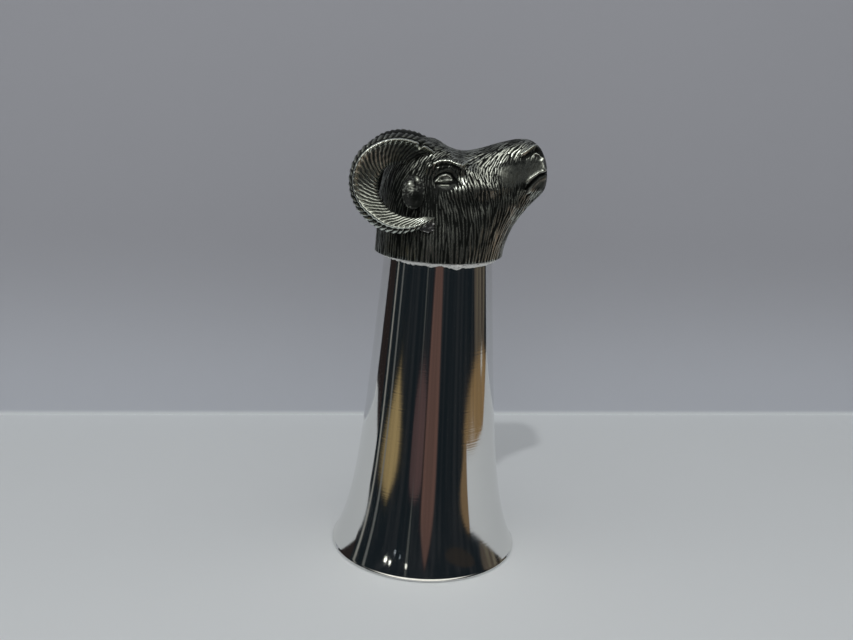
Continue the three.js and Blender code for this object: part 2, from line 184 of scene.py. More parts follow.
class NodeOutputs:
    """The outputs of one node, by name or number."""

    def __init__(self, bench, node):
        self.bench = bench
        self.outputs = node.outputs

    def __getitem__(self, key):
        return Shade(self.bench, self.outputs[key])


class NodeBench:
    """Adds nodes to one emptied node tree."""

    def __init__(self, tree):
        self.tree = tree
        tree.nodes.clear()

    def node(self, kind, settings=None, sockets=None):
        made = self.tree.nodes.new(kind)
        for name, value in (settings or {}).items():
            setattr(made, name, value)
        for name, value in (sockets or {}).items():
            if isinstance(value, Shade):
                self.tree.links.new(value.socket, made.inputs[name])
            else:
                made.inputs[name].default_value = value
        return NodeOutputs(self, made)

    def rise(self, value, low, high):
        """0 below low, 1 above high, and smooth between them."""
        sockets = {"Value": value, "From Min": low, "From Max": high}
        return self.node("ShaderNodeMapRange", {"interpolation_type": "SMOOTHSTEP"}, sockets)[0]

    def mix(self, factor, first, second):
        settings = {"data_type": "RGBA"}
        return self.node("ShaderNodeMix", settings, {0: factor, 6: opaque(first), 7: opaque(second)})[2]

    def speckle(self, place, scale, detail=2):
        sockets = {"Vector": place, "Scale": scale, "Detail": detail}
        return self.node("ShaderNodeTexNoise", {}, sockets)["Fac"]

    def place(self):
        return self.node("ShaderNodeTexCoord")["Object"]

    def height(self, place):
        return self.node("ShaderNodeSeparateXYZ", {}, {0: place})["Z"]

    def drawn_out(self, place, share):
        """The place with its height scaled, so that what varies with it runs in upright streaks."""
        return self.node("ShaderNodeMapping", {}, {"Vector": place, "Scale": (1, 1, share)})[0]

    def relief(self):
        """How far the surface stands proud, from 0 to 1. On the castings it also carries painted highlight
        and shade.
        """
        return self.node("ShaderNodeAttribute", {"attribute_name": "relief"})["Fac"]

    def bump(self, height, strength, millimetres):
        sockets = {"Strength": strength, "Distance": millimetres * MM, "Height": height}
        return self.node("ShaderNodeBump", {}, sockets)["Normal"]


def opaque(value):
    return value if isinstance(value, Shade) else (*value, 1)


def dimmed(tone, share):
    return [share * part for part in tone]


def new_finish(name):
    material = bpy.data.materials.new(name)
    material.use_nodes = True
    return material, NodeBench(material.node_tree)


def close_finish(bench, shader):
    bench.node("ShaderNodeOutputMaterial", {}, {"Surface": shader})


def close_metal(bench, sockets):
    close_finish(bench, bench.node("ShaderNodeBsdfPrincipled", {}, sockets)["BSDF"])


# Finishes

def mirror_pewter(finish):
    """Mirror pewter with faint rings from the spinning lathe, hairlines and finger marks."""
    material, bench = new_finish("mirror_pewter")
    place = bench.place()
    along = {"W": bench.height(place), "Scale": 1700, "Detail": 2}
    rings = bench.node("ShaderNodeTexNoise", {"noise_dimensions": "1D"}, along)["Fac"]
    smudge = bench.speckle(place, 55, 4)
    hairline = bench.rise(bench.speckle(bench.drawn_out(place, 0.03), 2400), 0.62, 0.75)
    close_metal(bench, {
        "Base Color": bench.mix(smudge * 0.35, finish.polished, dimmed(finish.polished, 0.93)),
        "Metallic": 1.0,
        "Roughness": 0.045 + 0.05 * smudge + 0.04 * hairline,
        "Normal": bench.bump(rings, 0.18, 0.02),
    })
    return material


def chased_pewter(finish):
    """Cast pewter darkened with patina, rubbed bright where its surface stands proud, and with painted
    highlight and shade in how bright some parts are.
    """
    material, bench = new_finish("chased_pewter")
    place = bench.place()
    mottle = bench.speckle(place, 240, 3)
    grain = bench.speckle(place, 2600, 3)
    # Partly painted highlight and shade: the relief read here carries them as well as rubbing and patina.
    worn = bench.rise(bench.relief() + 0.4 * (mottle - 0.5) + 0.2 * (grain - 0.5), 0.20, 0.86)
    close_metal(bench, {
        "Base Color": bench.mix(worn, finish.patina, finish.worn),
        "Metallic": bench.rise(worn, 0, 0.2),
        "Specular IOR Level": 0.1,
        "Roughness": 0.48 - 0.23 * worn,
        "Normal": bench.bump(grain, 0.35, 0.08),
    })
    return material


def soft_solder(finish):
    """Dull bright solder with a grainy skin and dirt in its hollows."""
    material, bench = new_finish("soft_solder")
    place = bench.place()
    lumps = bench.speckle(place, 900, 3)
    grain = bench.speckle(place, 3200)
    clean = bench.rise(bench.relief() + 0.7 * (lumps - 0.5), 0.2, 0.6)
    close_metal(bench, {
        "Base Color": bench.mix(clean, dimmed(finish.solder, 0.05), finish.solder),
        "Metallic": 0.18,
        "Roughness": 0.3 + 0.25 * grain,
        "Normal": bench.bump(lumps + 0.3 * grain, 0.6, 0.12),
    })
    return material


def finish_of(maker):
    """The finish that a maker gives, made once and then shared."""
    return bpy.data.materials.get(maker.__name__) or maker(bpy.context.scene.cup_finish)


# Meshes

def smooth_line(stations, shares):
    """Places on the smooth line through the stations, at shares of the way from the first to the last."""
    stations = np.asarray(stations, float)
    before = 2 * stations[0] - stations[1]
    after = 2 * stations[-1] - stations[-2]
    knots = np.vstack([before, stations, after])
    place = np.asarray(shares) * (len(stations) - 1)
    first = np.minimum(place.astype(int), len(stations) - 2)
    t = (place - first)[:, None]
    a, b, c, d = (knots[first + k] for k in range(4))
    ab, bc, cd = (np.sqrt(np.linalg.norm(q - p, axis=1))[:, None] for p, q in ((a, b), (b, c), (c, d)))
    leave = ((b - a) / ab - (c - a) / (ab + bc) + (c - b) / bc) * bc
    arrive = ((c - b) / bc - (d - b) / (bc + cd) + (d - c) / cd) * bc
    cubic = 2 * b - 2 * c + leave + arrive
    square = 3 * c - 3 * b - 2 * leave - arrive
    return b + leave * t + square * t ** 2 + cubic * t ** 3


def ring_faces(rings, columns, closed):
    """Quads between neighbouring rings of points, each ring closed on itself."""
    row = np.arange(rings if closed else rings - 1)[:, None]
    column = np.arange(columns)[None, :]
    beside = (column + 1) % columns
    above = (row + 1) % rings
    here, there = row * columns, above * columns
    corners = [here + column, here + beside, there + beside, there + column]
    return np.stack(corners, axis=-1).reshape(-1, 4)


def cap_faces(ring_start, columns, pole, outward):
    """Triangles from one ring of points to a pole."""
    column = np.arange(columns)
    first = ring_start + column
    second = ring_start + (column + 1) % columns
    order = [second, first] if outward else [first, second]
    return np.stack([*order, np.full(columns, pole)], axis=-1)


def enclosed_volume(points, faces):
    """Six times the volume that the faces enclose, below 0 where they face inwards."""
    a, b, c = (points[faces[:, k]] for k in range(3))
    volume = np.einsum("ij,ij->i", a, np.cross(b, c)).sum()
    if faces.shape[1] == 4:
        d = points[faces[:, 3]]
        volume += np.einsum("ij,ij->i", a, np.cross(c, d)).sum()
    return volume


def ringed_mesh(name, rings, relief, closed=False):
    """A closed mesh through rings of points. Open rows of rings are closed by a point at each end."""
    count, columns, _ = rings.shape
    points = rings.reshape(-1, 3)
    relief = np.broadcast_to(relief, (count, columns)).reshape(-1)
    quads = ring_faces(count, columns, closed)
    faces = quads.tolist()
    volume = enclosed_volume(points, quads)
    if not closed:
        poles = [rings[0].mean(axis=0), rings[-1].mean(axis=0)]
        relief = np.concatenate([relief, [relief[:columns].mean(), relief[-columns:].mean()]])
        points = np.vstack([points, poles])
        total = count * columns
        for start, pole, outward in ((0, total, True), (total - columns, total + 1, False)):
            cap = cap_faces(start, columns, pole, outward)
            volume += enclosed_volume(points, cap)
            faces += cap.tolist()
    if volume < 0:
        faces = [face[::-1] for face in faces]
    mesh = bpy.data.meshes.new(name)
    mesh.from_pydata((points * MM).tolist(), [], faces)
    layer = mesh.attributes.new("relief", "FLOAT", "POINT")
    layer.data.foreach_set("value", relief.astype(np.float32))
    mesh.shade_smooth()
    if mesh.validate():
        raise RuntimeError(f"{name} has faulty faces")
    return mesh


def add_object(name, data):
    obj = bpy.data.objects.new(name, data)
    bpy.context.scene.collection.objects.link(obj)
    return obj


def thinned(mesh, most):
    """The mesh with triangles merged where it is smoothest, until no more than the given number are left."""
    mesh.calc_loop_triangles()
    holder = add_object(mesh.name, mesh)
    holder.modifiers.new("thin out", "DECIMATE").ratio = min(1, most / len(mesh.loop_triangles))
    graph = bpy.context.evaluated_depsgraph_get()
    thin = bpy.data.meshes.new_from_object(holder.evaluated_get(graph))
    bpy.data.objects.remove(holder)
    return thin


def add_piece(name, mesh, finish, node):
    piece = add_object(name, mesh)
    mesh.materials.append(finish)
    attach(piece, "root")
    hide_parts(node)


def add_casting_pair(name, node, rings, relief, seam_height):
    """Adds the right and left pieces of a pair, from the rings of the left one on the head."""
    finish = finish_of(chased_pewter)
    for word, side in SIDES.items():
        placed = rings * [1, side, 1] + [0, 0, seam_height / MM]
        mesh = ringed_mesh(f"{name}_{word}", placed, relief)
        add_piece(f"{name}_{word}", mesh, finish, f"{word}_{node}")


def full_turn(count):
    """Angles at even distances round a circle."""
    return np.linspace(0, 2 * math.pi, count, endpoint=False)


def spun(radius, angle, height):
    """Points at a radius and a height, turned about the cup's axis."""
    return np.stack(np.broadcast_arrays(radius * np.cos(angle), radius * np.sin(angle), height), axis=-1)


def uneven(points, scale, seed):
    """Soft random numbers from about -1 to 1 at each point, with lumps as wide as the scale."""
    shift = Vector([seed * step for step in SEED_STEP])
    flat = points.reshape(-1, 3) / scale
    values = [noise.noise(Vector(p) + shift) for p in flat.tolist()]
    return np.array(values).reshape(points.shape[:-1])


def lumpy(points, coarse, fine, share, seed):
    """Coarse unevenness with a share of a finer one."""
    return uneven(points, coarse, seed) + share * uneven(points, fine, seed + 1)


def hump(distance, width):
    """1 at no distance, falling smoothly to about a third at the width."""
    return np.exp(-(distance / width) ** 2)


def clear_rise(value, low, high):
    """0 below low, 1 above high, and smooth between them."""
    t = np.clip((value - low) / (high - low), 0, 1)
    return t * t * (3 - 2 * t)


# Beaker

BEAKER_RINGS = 96
CORNER_STEPS = 8
WALL_CROWDING = 1.7
POLE_RADIUS = 0.5
# Where the lip's roll meets the wall, in degrees from straight outwards.
ROLL_END = 385


def beaker_radius(beaker, height):
    """Outside of the wall: a straight taper and a flare that dies away upwards."""
    straight = beaker.seam_radius + beaker.taper * (beaker.seam_height - height)
    flare = beaker.mouth_radius - beaker.seam_radius - beaker.taper * beaker.seam_height
    return straight + flare * np.exp(-height / beaker.flare_reach)


def corner_arc(radius, height, bend, start, end):
    angle = np.radians(np.linspace(start, end, CORNER_STEPS + 1))
    return np.column_stack([radius + bend * np.cos(angle), height + bend * np.sin(angle)])


def beaker_profile(beaker):
    """Radius and height in millimetres, from the inside's middle round the lip to the outside's middle."""
    top = beaker.seam_height + beaker.spigot
    shoulder = top - beaker.corner
    inner_corner = beaker.corner - beaker.wall
    inner_shoulder = top - beaker.floor - inner_corner
    lip, roll, pole = beaker.lip_round, beaker.lip_roll, POLE_RADIUS * MM
    share = np.linspace(0, 1, BEAKER_RINGS) ** WALL_CROWDING
    outer = 2 * roll + (shoulder - 2 * roll) * share
    inner = lip + (inner_shoulder - lip) * share[::-1]
    edge = beaker_radius(beaker, lip)
    inner_edge = edge - beaker.wall
    inner_centre = beaker_radius(beaker, inner_shoulder) - beaker.wall - inner_corner
    centre = beaker_radius(beaker, shoulder) - beaker.corner
    return np.vstack([
        [[pole, top - beaker.floor]],
        corner_arc(inner_centre, inner_shoulder, inner_corner, 90, 0),
        np.column_stack([beaker_radius(beaker, inner) - beaker.wall, inner])[1:-1],
        corner_arc(inner_edge + lip, lip, lip, 180, 270),
        corner_arc(edge - roll, roll, roll, 270, ROLL_END),
        np.column_stack([beaker_radius(beaker, outer), outer])[1:-1],
        corner_arc(centre, shoulder, beaker.corner, 0, 90),
        [[pole, top]],
    ]) / MM


class CUP_OT_beaker(bpy.types.Operator):
    """Spin the beaker"""

    bl_idname = "cup.beaker"
    bl_label = "Spin the Beaker"

    def execute(self, context):
        beaker = context.scene.cup_beaker
        radius, height = beaker_profile(beaker).T[:, :, None]
        angle = full_turn(beaker.segments)
        mesh = ringed_mesh("polished_beaker", spun(radius, angle, height), 0.5)
        add_piece("polished_beaker", mesh, finish_of(mirror_pewter), "beaker_body")
        return {"FINISHED"}


# Head: sections from the neck's round foot to the muzzle. Heights on the head start at the seam.

# Side view of each section: nape x and z, throat x and z, and then its half width and fullness.
HEAD_STATIONS = np.array([
    (-20.4, 0, 20.4, 0, 20.4, 2),
    (-20.2, 5.5, 20.7, 2.6, 20.2, 2.05),
    (-20, 12, 21.4, 5.4, 19.5, 2.1),
    (-19.6, 19, 22.3, 8, 18.5, 2.2),
    (-18, 26, 23.2, 10, 17.4, 2.3),
    (-14.2, 32, 24.1, 11.6, 16.2, 2.4),
    (-8.8, 35.6, 24.9, 12.9, 15.2, 2.5),
    (-3.4, 35.9, 25.6, 13.9, 14.4, 2.5),
    (1.4, 33.5, 26.3, 14.8, 13.6, 2.5),
    (6, 32.6, 26.9, 15.6, 12.4, 2.5),
    (11.5, 33.7, 27.7, 16.5, 11, 2.5),
    (17.5, 35.7, 28.8, 17.8, 9.8, 2.5),
    (23, 37.1, 30.2, 19.2, 9, 2.4),
    (27.3, 36.8, 31.4, 20.5, 8.4, 2.3),
    (29.9, 35, 32.2, 21.8, 7.6, 2.2),
    (31.6, 32.2, 32.7, 23.8, 5.8, 2.1),
    (32.5, 29.2, 32.78, 26.6, 2.2, 2),
])
# The share that the nape's length has in the distance between rings. The rest is the throat's.
NAPE_PACE = 0.6
OUTLINE_SAMPLES = 2001
SECTION_SAMPLES = 721

# Broad forms of the face, in the side view: a line, how far it stands out and how wide it is.
FACE_FORMS = [
    ("brow", [(-3.6, 28.2), (4.6, 29.4)], 1.5, 1.9),
    ("inner brow", [(4.6, 29.2), (8.6, 26.6)], 0.7, 1.7),
    ("eye socket", [(-0.8, 24.8), (3.2, 25.6)], -1.3, 2.4),
    ("cheekbone", [(3.5, 21.8), (16, 23.8)], 0.95, 2.9),
    ("jaw hollow", [(11, 17.6), (21, 20.4)], -0.7, 2.6),
    ("muzzle waist", [(21.5, 31.5), (24.5, 23.5)], -0.6, 2.2),
    ("upper lip", [(26.5, 25.2), (31, 28.4)], 0.4, 1.5),
    ("chin", [(28, 22), (31, 24)], 0.5, 1.2),
]

# The eyeball in the side view: its place and radius, how far it stands out and how far it is flattened.
EYE_PLACE = (1, 25)
EYE_RADIUS = 1.5
EYE_BULGE = 0.52
EYE_SQUASH = 1.6
# Bare skin: distances from the eye, and then the lips' slanted edge, their lower end and how bare they are.
EYE_BARE = (2.7, 4.2)
LIPS_EDGE = (27.5, 31)
LIPS_SLANT = 0.35
LIPS_LEVEL = 30
LIPS_FOOT = (21, 24)
LIPS_BARE = 0.88
# The smooth side of the muzzle: a line, how far from it the hair starts, and the way that it fades over.
MUZZLE_LINE = [(20.5, 26.8), (28.5, 28.8)]
MUZZLE_REACH = 6.2
MUZZLE_FADE = 3.8
# Carved lines of the face, given in the same way as its broad forms.
FACE_LINES = [
    ("brow crest", [(-3, 29), (-1.6, 29.8), (0.4, 30.2), (2, 30.1), (4.4, 29.4), (5.4, 29), (6.9, 29.7)],
     0.62, 0.36),
    ("under the brow", [(-2.4, 28.6), (0, 29.2), (2.2, 29.2), (3.9, 28.6), (5.2, 27.7)], -0.55, 0.36),
    ("fold above the lid", [(-2.6, 25.6), (-1.2, 26.9), (0.8, 27.6), (2.9, 27.1), (4.1, 25.8)], 0.2, 0.24),
    ("crease above the lid", [(-2.4, 24.8), (-1.2, 26.1), (0.8, 26.85), (2.5, 26.4), (3.5, 25.1)],
     -0.42, 0.25),
    ("upper lid", [(-2.2, 23.9), (-1.3, 25), (-0.2, 25.85), (1.1, 26.15), (2.1, 25.75), (2.8, 24.9)],
     0.38, 0.24),
    ("lower lid", [(-1.4, 24), (-0.1, 24.15), (1.9, 24.3), (2.8, 24.6)], 0.48, 0.24),
    ("crease under the lid", [(-2, 23.5), (0.4, 23.6), (2.2, 23.7), (3.6, 24.2)], -0.42, 0.24),
    ("fold under the lid", [(-0.6, 22.95), (0.4, 23), (1.8, 23.1)], 0.34, 0.22),
    ("tear line", [(3.1, 25), (4.5, 24.3), (5.6, 23.4)], -0.4, 0.34),
    ("nostril wing", [(23.6, 32.8), (25.6, 34), (27, 35), (28.2, 35.4), (28.7, 35)], 0.85, 0.46),
    ("behind the wing", [(24.2, 31.9), (26.2, 33), (27.6, 33.9)], -0.45, 0.5),
    ("nostril", [(28.5, 34.7), (29.4, 33.9), (30, 33)], -1.4, 0.52),
    ("under the nostril", [(27.8, 33.3), (29.2, 32.7), (30.4, 31.7)], 0.55, 0.36),
    ("edge of the nose", [(30, 31.3), (30.4, 30.2), (30.8, 28.9)], 0.5, 0.44),
    ("upper lip's edge", [(31.6, 28.5), (29.4, 27.9), (26.9, 26), (25.8, 24.7)], 0.4, 0.36),
    ("mouth", [(33.4, 28), (31.4, 27.5), (29.8, 26.9), (27.9, 25.1), (25.8, 22.6)], -1.25, 0.32),
    ("lower lip", [(31.6, 26.1), (29.8, 25.4), (28.2, 23.8), (26.6, 21.8)], 0.28, 0.6),
]

# Locks of hair that the chaser's strokes follow: place in the side view, direction, half the stroke's length,
# half its width, its height, and how far its crest is rubbed bright. That brightness is partly rubbing and
# partly painted highlight: highest on the cheekbone and the bridge of the nose, where the lamps catch.
LOCKS = np.array([
    (-19, 4, 0, -1, 6, 0.5, 0.3, 0.68),
    (-8, 4, 0.02, -1, 6, 0.5, 0.3, 0.68),
    (4, 4, 0.03, -1, 6, 0.5, 0.3, 0.66),
    (12, 4, -0.08, -1, 5.5, 0.5, 0.3, 0.68),
    (19, 4, -0.22, -1, 5, 0.52, 0.32, 0.86),
    (-19, 13, 0.05, -1, 6, 0.48, 0.29, 0.7),
    (0, 13, 0.12, -1, 3.6, 0.46, 0.28, 0.48),
    (9, 13, 0.12, -1, 3.8, 0.46, 0.28, 0.46),
    (16, 11, -0.25, -1, 4.5, 0.48, 0.3, 0.7),
    (22, 13, -0.5, -0.85, 3.5, 0.5, 0.3, 0.84),
    (2, 18.5, 0.32, -0.95, 2.4, 0.44, 0.26, 0.42),
    (8, 18.5, 0.36, -0.93, 2.5, 0.44, 0.26, 0.46),
    (14, 18.5, 0.25, -0.97, 2.6, 0.44, 0.26, 0.47),
    (20, 19, -0.15, -1, 3, 0.44, 0.22, 0.55),
    (26, 20, -0.6, -0.8, 2.2, 0.4, 0.2, 0.8),
    (29, 21.5, -0.6, -0.8, 1.5, 0.38, 0.18, 0.9),
    (-4, 17, 0.1, -1, 2.4, 0.44, 0.22, 0.36),
    (5, 23.5, 0.45, -0.9, 2.4, 0.38, 0.26, 0.95),
    (9, 25.5, 0.45, -0.9, 2.4, 0.38, 0.28, 1),
    (13, 24.5, 0.4, -0.92, 2.4, 0.38, 0.28, 1),
    (17, 23.3, 0.25, -0.97, 2.4, 0.38, 0.22, 0.75),
    (19, 26, 0.1, -1, 1.8, 0.36, 0.08, 0.36),
    (21.5, 24.5, 0.05, -1, 2.2, 0.36, 0.1, 0.34),
    (24.5, 25, -0.1, -1, 2, 0.34, 0.07, 0.3),
    (22, 28.5, -0.2, -0.98, 1.8, 0.34, 0.06, 0.36),
    (26, 28.5, -0.1, -1, 1.8, 0.34, 0.05, 0.36),
    (25, 31, -0.3, -0.95, 1.6, 0.34, 0.06, 0.38),
    (21.5, 31, -0.3, -0.95, 1.6, 0.36, 0.1, 0.45),
    (9.5, 27.8, -0.15, -1, 1.8, 0.38, 0.26, 1),
    (15, 27.6, -0.15, -1, 1.9, 0.38, 0.24, 0.85),
    (18.5, 29, -0.22, -0.97, 1.6, 0.36, 0.1, 0.45),
    (7.5, 29.5, -0.5, -0.87, 1.8, 0.38, 0.26, 1),
    (12, 30.5, -0.48, -0.88, 2.1, 0.38, 0.3, 1.05),
    (17, 32.3, -0.45, -0.89, 2.2, 0.38, 0.34, 1.2),
    (21.5, 33.6, -0.45, -0.89, 2.1, 0.38, 0.34, 1.25),
    (25.5, 35, -0.48, -0.88, 1.6, 0.38, 0.24, 1),
    (28.5, 36, -0.5, -0.87, 1.2, 0.38, 0.06, 0.4),
    (2, 31.8, -0.5, -0.85, 1, 0.36, 0.17, 0.7),
    (-3, 34.8, -0.8, -0.5, 0.9, 0.36, 0.16, 0.65),
    (6, 32.4, -0.8, -0.4, 0.9, 0.35, 0.16, 0.7),
    (14, 34.4, -0.8, -0.5, 1, 0.35, 0.13, 0.45),
    (21, 36.8, -0.8, -0.5, 1, 0.35, 0.1, 0.35),
    (-4, 28, -0.3, -0.95, 1.6, 0.42, 0.24, 0.8),
    (-4, 22, 0.2, -0.98, 2, 0.44, 0.22, 0.32),
    (-9, 24, -0.5, -0.86, 2, 0.44, 0.22, 0.55),
    (-13, 20, -0.45, -0.9, 2.2, 0.44, 0.2, 0.5),
    (-10, 16, -0.2, -1, 2.4, 0.44, 0.2, 0.5),
    (-18, 22, -0.1, -1, 4, 0.46, 0.26, 0.75),
    (-16, 30, -0.45, -0.9, 3, 0.46, 0.24, 0.55),
    (-10, 35, -0.9, -0.45, 2, 0.42, 0.22, 0.65),
])
# How fast a lock's hold on the hair falls with distance, and a distance that keeps it finite.
LOCK_FALLOFF = 3
LOCK_CORE = 0.05
# Strokes that are tried, how far apart they lie as a share of their length, the half width that the gap is
# meant for, and how much broader they are then made.
STROKE_TRIES = 45000
STROKE_REACH = 1.15
USUAL_HALF_WIDTH = 0.44
STROKE_BREADTH = 1.4
# The form of a stroke: how square its ends are and how blunt, and the share of its height that they keep.
STROKE_SQUARENESS = 4
STROKE_BLUNTNESS = 0.6
STROKE_END = 0.45
# How far the strokes sink into the skin, as a share of their height.
STROKE_SETTLE = 0.5
# Steps of the grid that are looked at beyond a stroke's ends.
STROKE_MARGIN = 3
# How narrow the bright line on a stroke's crest is.
CREST_SHARPNESS = 1.8
# How far the strokes differ in length, height, wear, direction and bend.
LENGTH_SPREAD = 0.18
HEIGHT_SPREAD = 0.2
WEAR_SPREAD = 0.15
LEAN_SPREAD = 0.05
BEND_SPREAD = 0.3
# How bright the bare skin, the carved lines and the tip of the muzzle are rubbed.
SKIN_WEAR = 0.32
LINE_WEAR = 0.8
TIP_WEAR = 0.45
# Shares of the way from the spine to the flank where the carved lines and the eyes come in.
LINES_START = (0.15, 0.5)
EYES_START = (0.3, 0.6)
# Share of the head's length over which the relief dies away at the muzzle's tip.
TIP_SHARE = 0.03
TIP_STEPS = 5
# The dome that closes the neck's hollow: the degrees that it turns through, and its steps.
DOME_TURN = 88
DOME_STEPS = 9
MOST_TRIANGLES = 196000


def head_outline(shares):
    """The nape with the sections' half widths, and the throat with their fullness."""
    nape = smooth_line(HEAD_STATIONS[:, [0, 4, 1]], shares)
    throat = smooth_line(HEAD_STATIONS[:, [2, 5, 3]], shares)
    return nape, throat


def even_shares(count):
    """Shares of the head's length that give rings of about even distance."""
    fine = np.linspace(0, 1, OUTLINE_SAMPLES)
    nape, throat = (np.linalg.norm(np.diff(line[:, [0, 2]], axis=0), axis=1) for line in head_outline(fine))
    travelled = np.concatenate([[0], np.cumsum(NAPE_PACE * nape + (1 - NAPE_PACE) * throat)])
    return np.interp(np.linspace(0, travelled[-1], count), travelled, fine)


def even_section(half_height, half_width, fullness, columns):
    """Along, across and flank share of points at even distances round one section."""
    angle = np.linspace(0, 2 * math.pi, SECTION_SAMPLES)
    power = 2 / fullness
    along = np.sign(np.cos(angle)) * np.abs(np.cos(angle)) ** power * half_height
    across = -np.sign(np.sin(angle)) * np.abs(np.sin(angle)) ** power * half_width
    steps = np.hypot(np.diff(along), np.diff(across))
    travelled = np.concatenate([[0], np.cumsum(steps)])
    even = np.linspace(0, travelled[-1], columns, endpoint=False)
    flank = np.abs(np.sin(np.interp(even, travelled, angle)))
    return np.interp(even, travelled, along), np.interp(even, travelled, across), flank


def path_distance(x, z, path):
    """Distances in the side view from a line through the path's points."""
    nearest = np.full(x.shape, np.inf)
    for (ax, az), (bx, bz) in zip(path, path[1:]):
        run, rise = bx - ax, bz - az
        share = np.clip(((x - ax) * run + (z - az) * rise) / (run * run + rise * rise), 0, 1)
        nearest = np.minimum(nearest, np.hypot(x - ax - share * run, z - az - share * rise))
    return nearest


def carved(x, z, forms):
    """How far the forms or lines stand out at places in the side view."""
    return sum(height * hump(path_distance(x, z, path), width) for _, path, height, width in forms)


def head_skin(rings, columns):
    """The bare head with its broad forms, as rings of points, and the share that each faces sideways."""
    nape, throat = head_outline(even_shares(rings))
    points = np.zeros((rings, columns, 3))
    flank = np.zeros((rings, columns))
    for i, ((nape_x, half_width, nape_z), (throat_x, fullness, throat_z)) in enumerate(zip(nape, throat)):
        rise = np.array([nape_x - throat_x, nape_z - throat_z]) / 2
        half_height = np.linalg.norm(rise)
        along, across, flank[i] = even_section(half_height, half_width, fullness, columns)
        up_x, up_z = rise / half_height
        x = (nape_x + throat_x) / 2 + up_x * along
        z = (nape_z + throat_z) / 2 + up_z * along
        push = carved(x, z, FACE_FORMS) * flank[i] / np.hypot(along, across)
        points[i] = np.column_stack([x + up_x * along * push, across * (1 + push), z + up_z * along * push])
    return points, flank


def unit(vectors):
    return vectors / np.linalg.norm(vectors, axis=-1, keepdims=True)


def outward(points):
    """Outward directions of a grid of rings, and the distances between its rings and its columns."""
    beside = np.roll(points, -1, axis=1) - np.roll(points, 1, axis=1)
    above = np.gradient(points, axis=0)
    normal = unit(np.cross(beside, above))
    if (normal * (points - points.mean(axis=1, keepdims=True))).sum() < 0:
        normal = -normal
    return normal, np.linalg.norm(above, axis=-1), np.linalg.norm(beside, axis=-1) / 2


def hair_courses(points, normal):
    """Directions of the hair over the head. The locks give them in the side view, and where the head turns
    away from that view they keep their angle to its sections."""
    half = points.shape[1] // 2
    nape, throat = points[:, 0], points[:, half]
    down_view = unit((throat - nape)[:, [0, 2]])[:, None, :]
    ahead_view = np.stack([-down_view[..., 1], down_view[..., 0]], axis=-1)
    down = np.roll(points, -1, axis=1) - np.roll(points, 1, axis=1)
    down[:, half:] *= -1
    down = unit(down)
    ahead = np.cross(normal, down)
    course = lock_at(points[..., 0], points[..., 2])[..., :2]
    fall = (course * down_view).sum(axis=-1, keepdims=True)
    drift = (course * ahead_view).sum(axis=-1, keepdims=True)
    ahead *= np.sign((ahead * np.gradient(points, axis=0)).sum(axis=-1, keepdims=True))
    return unit(fall * down + drift * ahead)


def lock_at(x, z):
    """The hair's direction and stroke sizes at places in the side view."""
    distance = np.hypot(x[..., None] - LOCKS[:, 0], z[..., None] - LOCKS[:, 1]) + LOCK_CORE
    weight = distance ** -LOCK_FALLOFF
    weight /= weight.sum(axis=-1, keepdims=True)
    return weight @ LOCKS[:, 2:]


def place_strokes(points, normal, area, gap, rng):
    """Evenly spread strokes: the grid place, direction, half length, half width, height and crest brightness
    of each, that brightness partly rubbing and partly painted highlight.
    """
    x, z = points[..., 0], points[..., 2]
    chance = area.ravel() / area.sum()
    tries = rng.choice(chance.size, STROKE_TRIES, p=chance)
    sizes = lock_at(x.ravel()[tries], z.ravel()[tries])
    places = points.reshape(-1, 3)[tries]
    course = hair_courses(points, normal).reshape(-1, 3)[tries]
    kept = np.zeros(STROKE_TRIES, int)
    count = 0
    for k in range(STROKE_TRIES):
        apart = places[kept[:count]] - places[k]
        along = apart @ course[k]
        across_square = (apart * apart).sum(axis=1) - along ** 2
        reach = STROKE_REACH * sizes[k, 2]
        if np.all((along / reach) ** 2 + across_square / (gap * sizes[k, 3] / USUAL_HALF_WIDTH) ** 2 > 1):
            kept[count] = k
            count += 1
    kept = kept[:count]
    return tries[kept], course[kept], sizes[kept, 2:]


def chase_hair(points, normal, ring_step, column_step, gap, seed):
    """Height of the chased strokes over the head, and how bright their crests are, partly rubbed and partly
    painted highlight.
    """
    rng = np.random.default_rng(seed)
    rings, columns, _ = points.shape
    field = np.zeros((rings, columns))
    crest = np.zeros((rings, columns))
    seeds, courses, sizes = place_strokes(points, normal, ring_step * column_step, gap, rng)
    sizes[:, 1] *= STROKE_BREADTH
    for seed_place, course, (half_length, half_width, height, wear_and_highlight) in zip(seeds, courses, sizes):
        i, j = divmod(seed_place, columns)
        turn, bend, swell = np.clip(rng.normal(0, 1, 3), -2, 2)
        half_length *= 1 + LENGTH_SPREAD * swell
        lean = course + LEAN_SPREAD * turn * np.cross(normal[i, j], course)
        deep = int(half_length / ring_step[i, j]) + STROKE_MARGIN
        wide = min(int(half_length / column_step[i, j]) + STROKE_MARGIN, columns // 4)
        near_rings = np.arange(max(0, i - deep), min(rings, i + deep + 1))
        near_columns = np.arange(j - wide, j + wide + 1) % columns
        window = np.ix_(near_rings, near_columns)
        apart = points[window] - points[i, j]
        share = (apart @ lean) / half_length
        across = apart @ np.cross(normal[i, j], lean) - BEND_SPREAD * bend * half_width * share ** 2
        taper = np.clip(1 - share ** STROKE_SQUARENESS, 0, 1) ** STROKE_BLUNTNESS
        ridge = np.clip(1 - np.abs(across) / (half_width * taper + 1e-6), 0, 1)
        ridge *= STROKE_END + (1 - STROKE_END) * taper
        field[window] = np.maximum(field[window], height * (1 + HEIGHT_SPREAD * swell) * ridge)
        # Partly painted highlight: the crest's brightness follows where the lamps catch as well as rubbing.
        rubbed = wear_and_highlight * (1 + WEAR_SPREAD * bend) * ridge ** CREST_SHARPNESS
        crest[window] = np.maximum(crest[window], rubbed)
    return field, crest


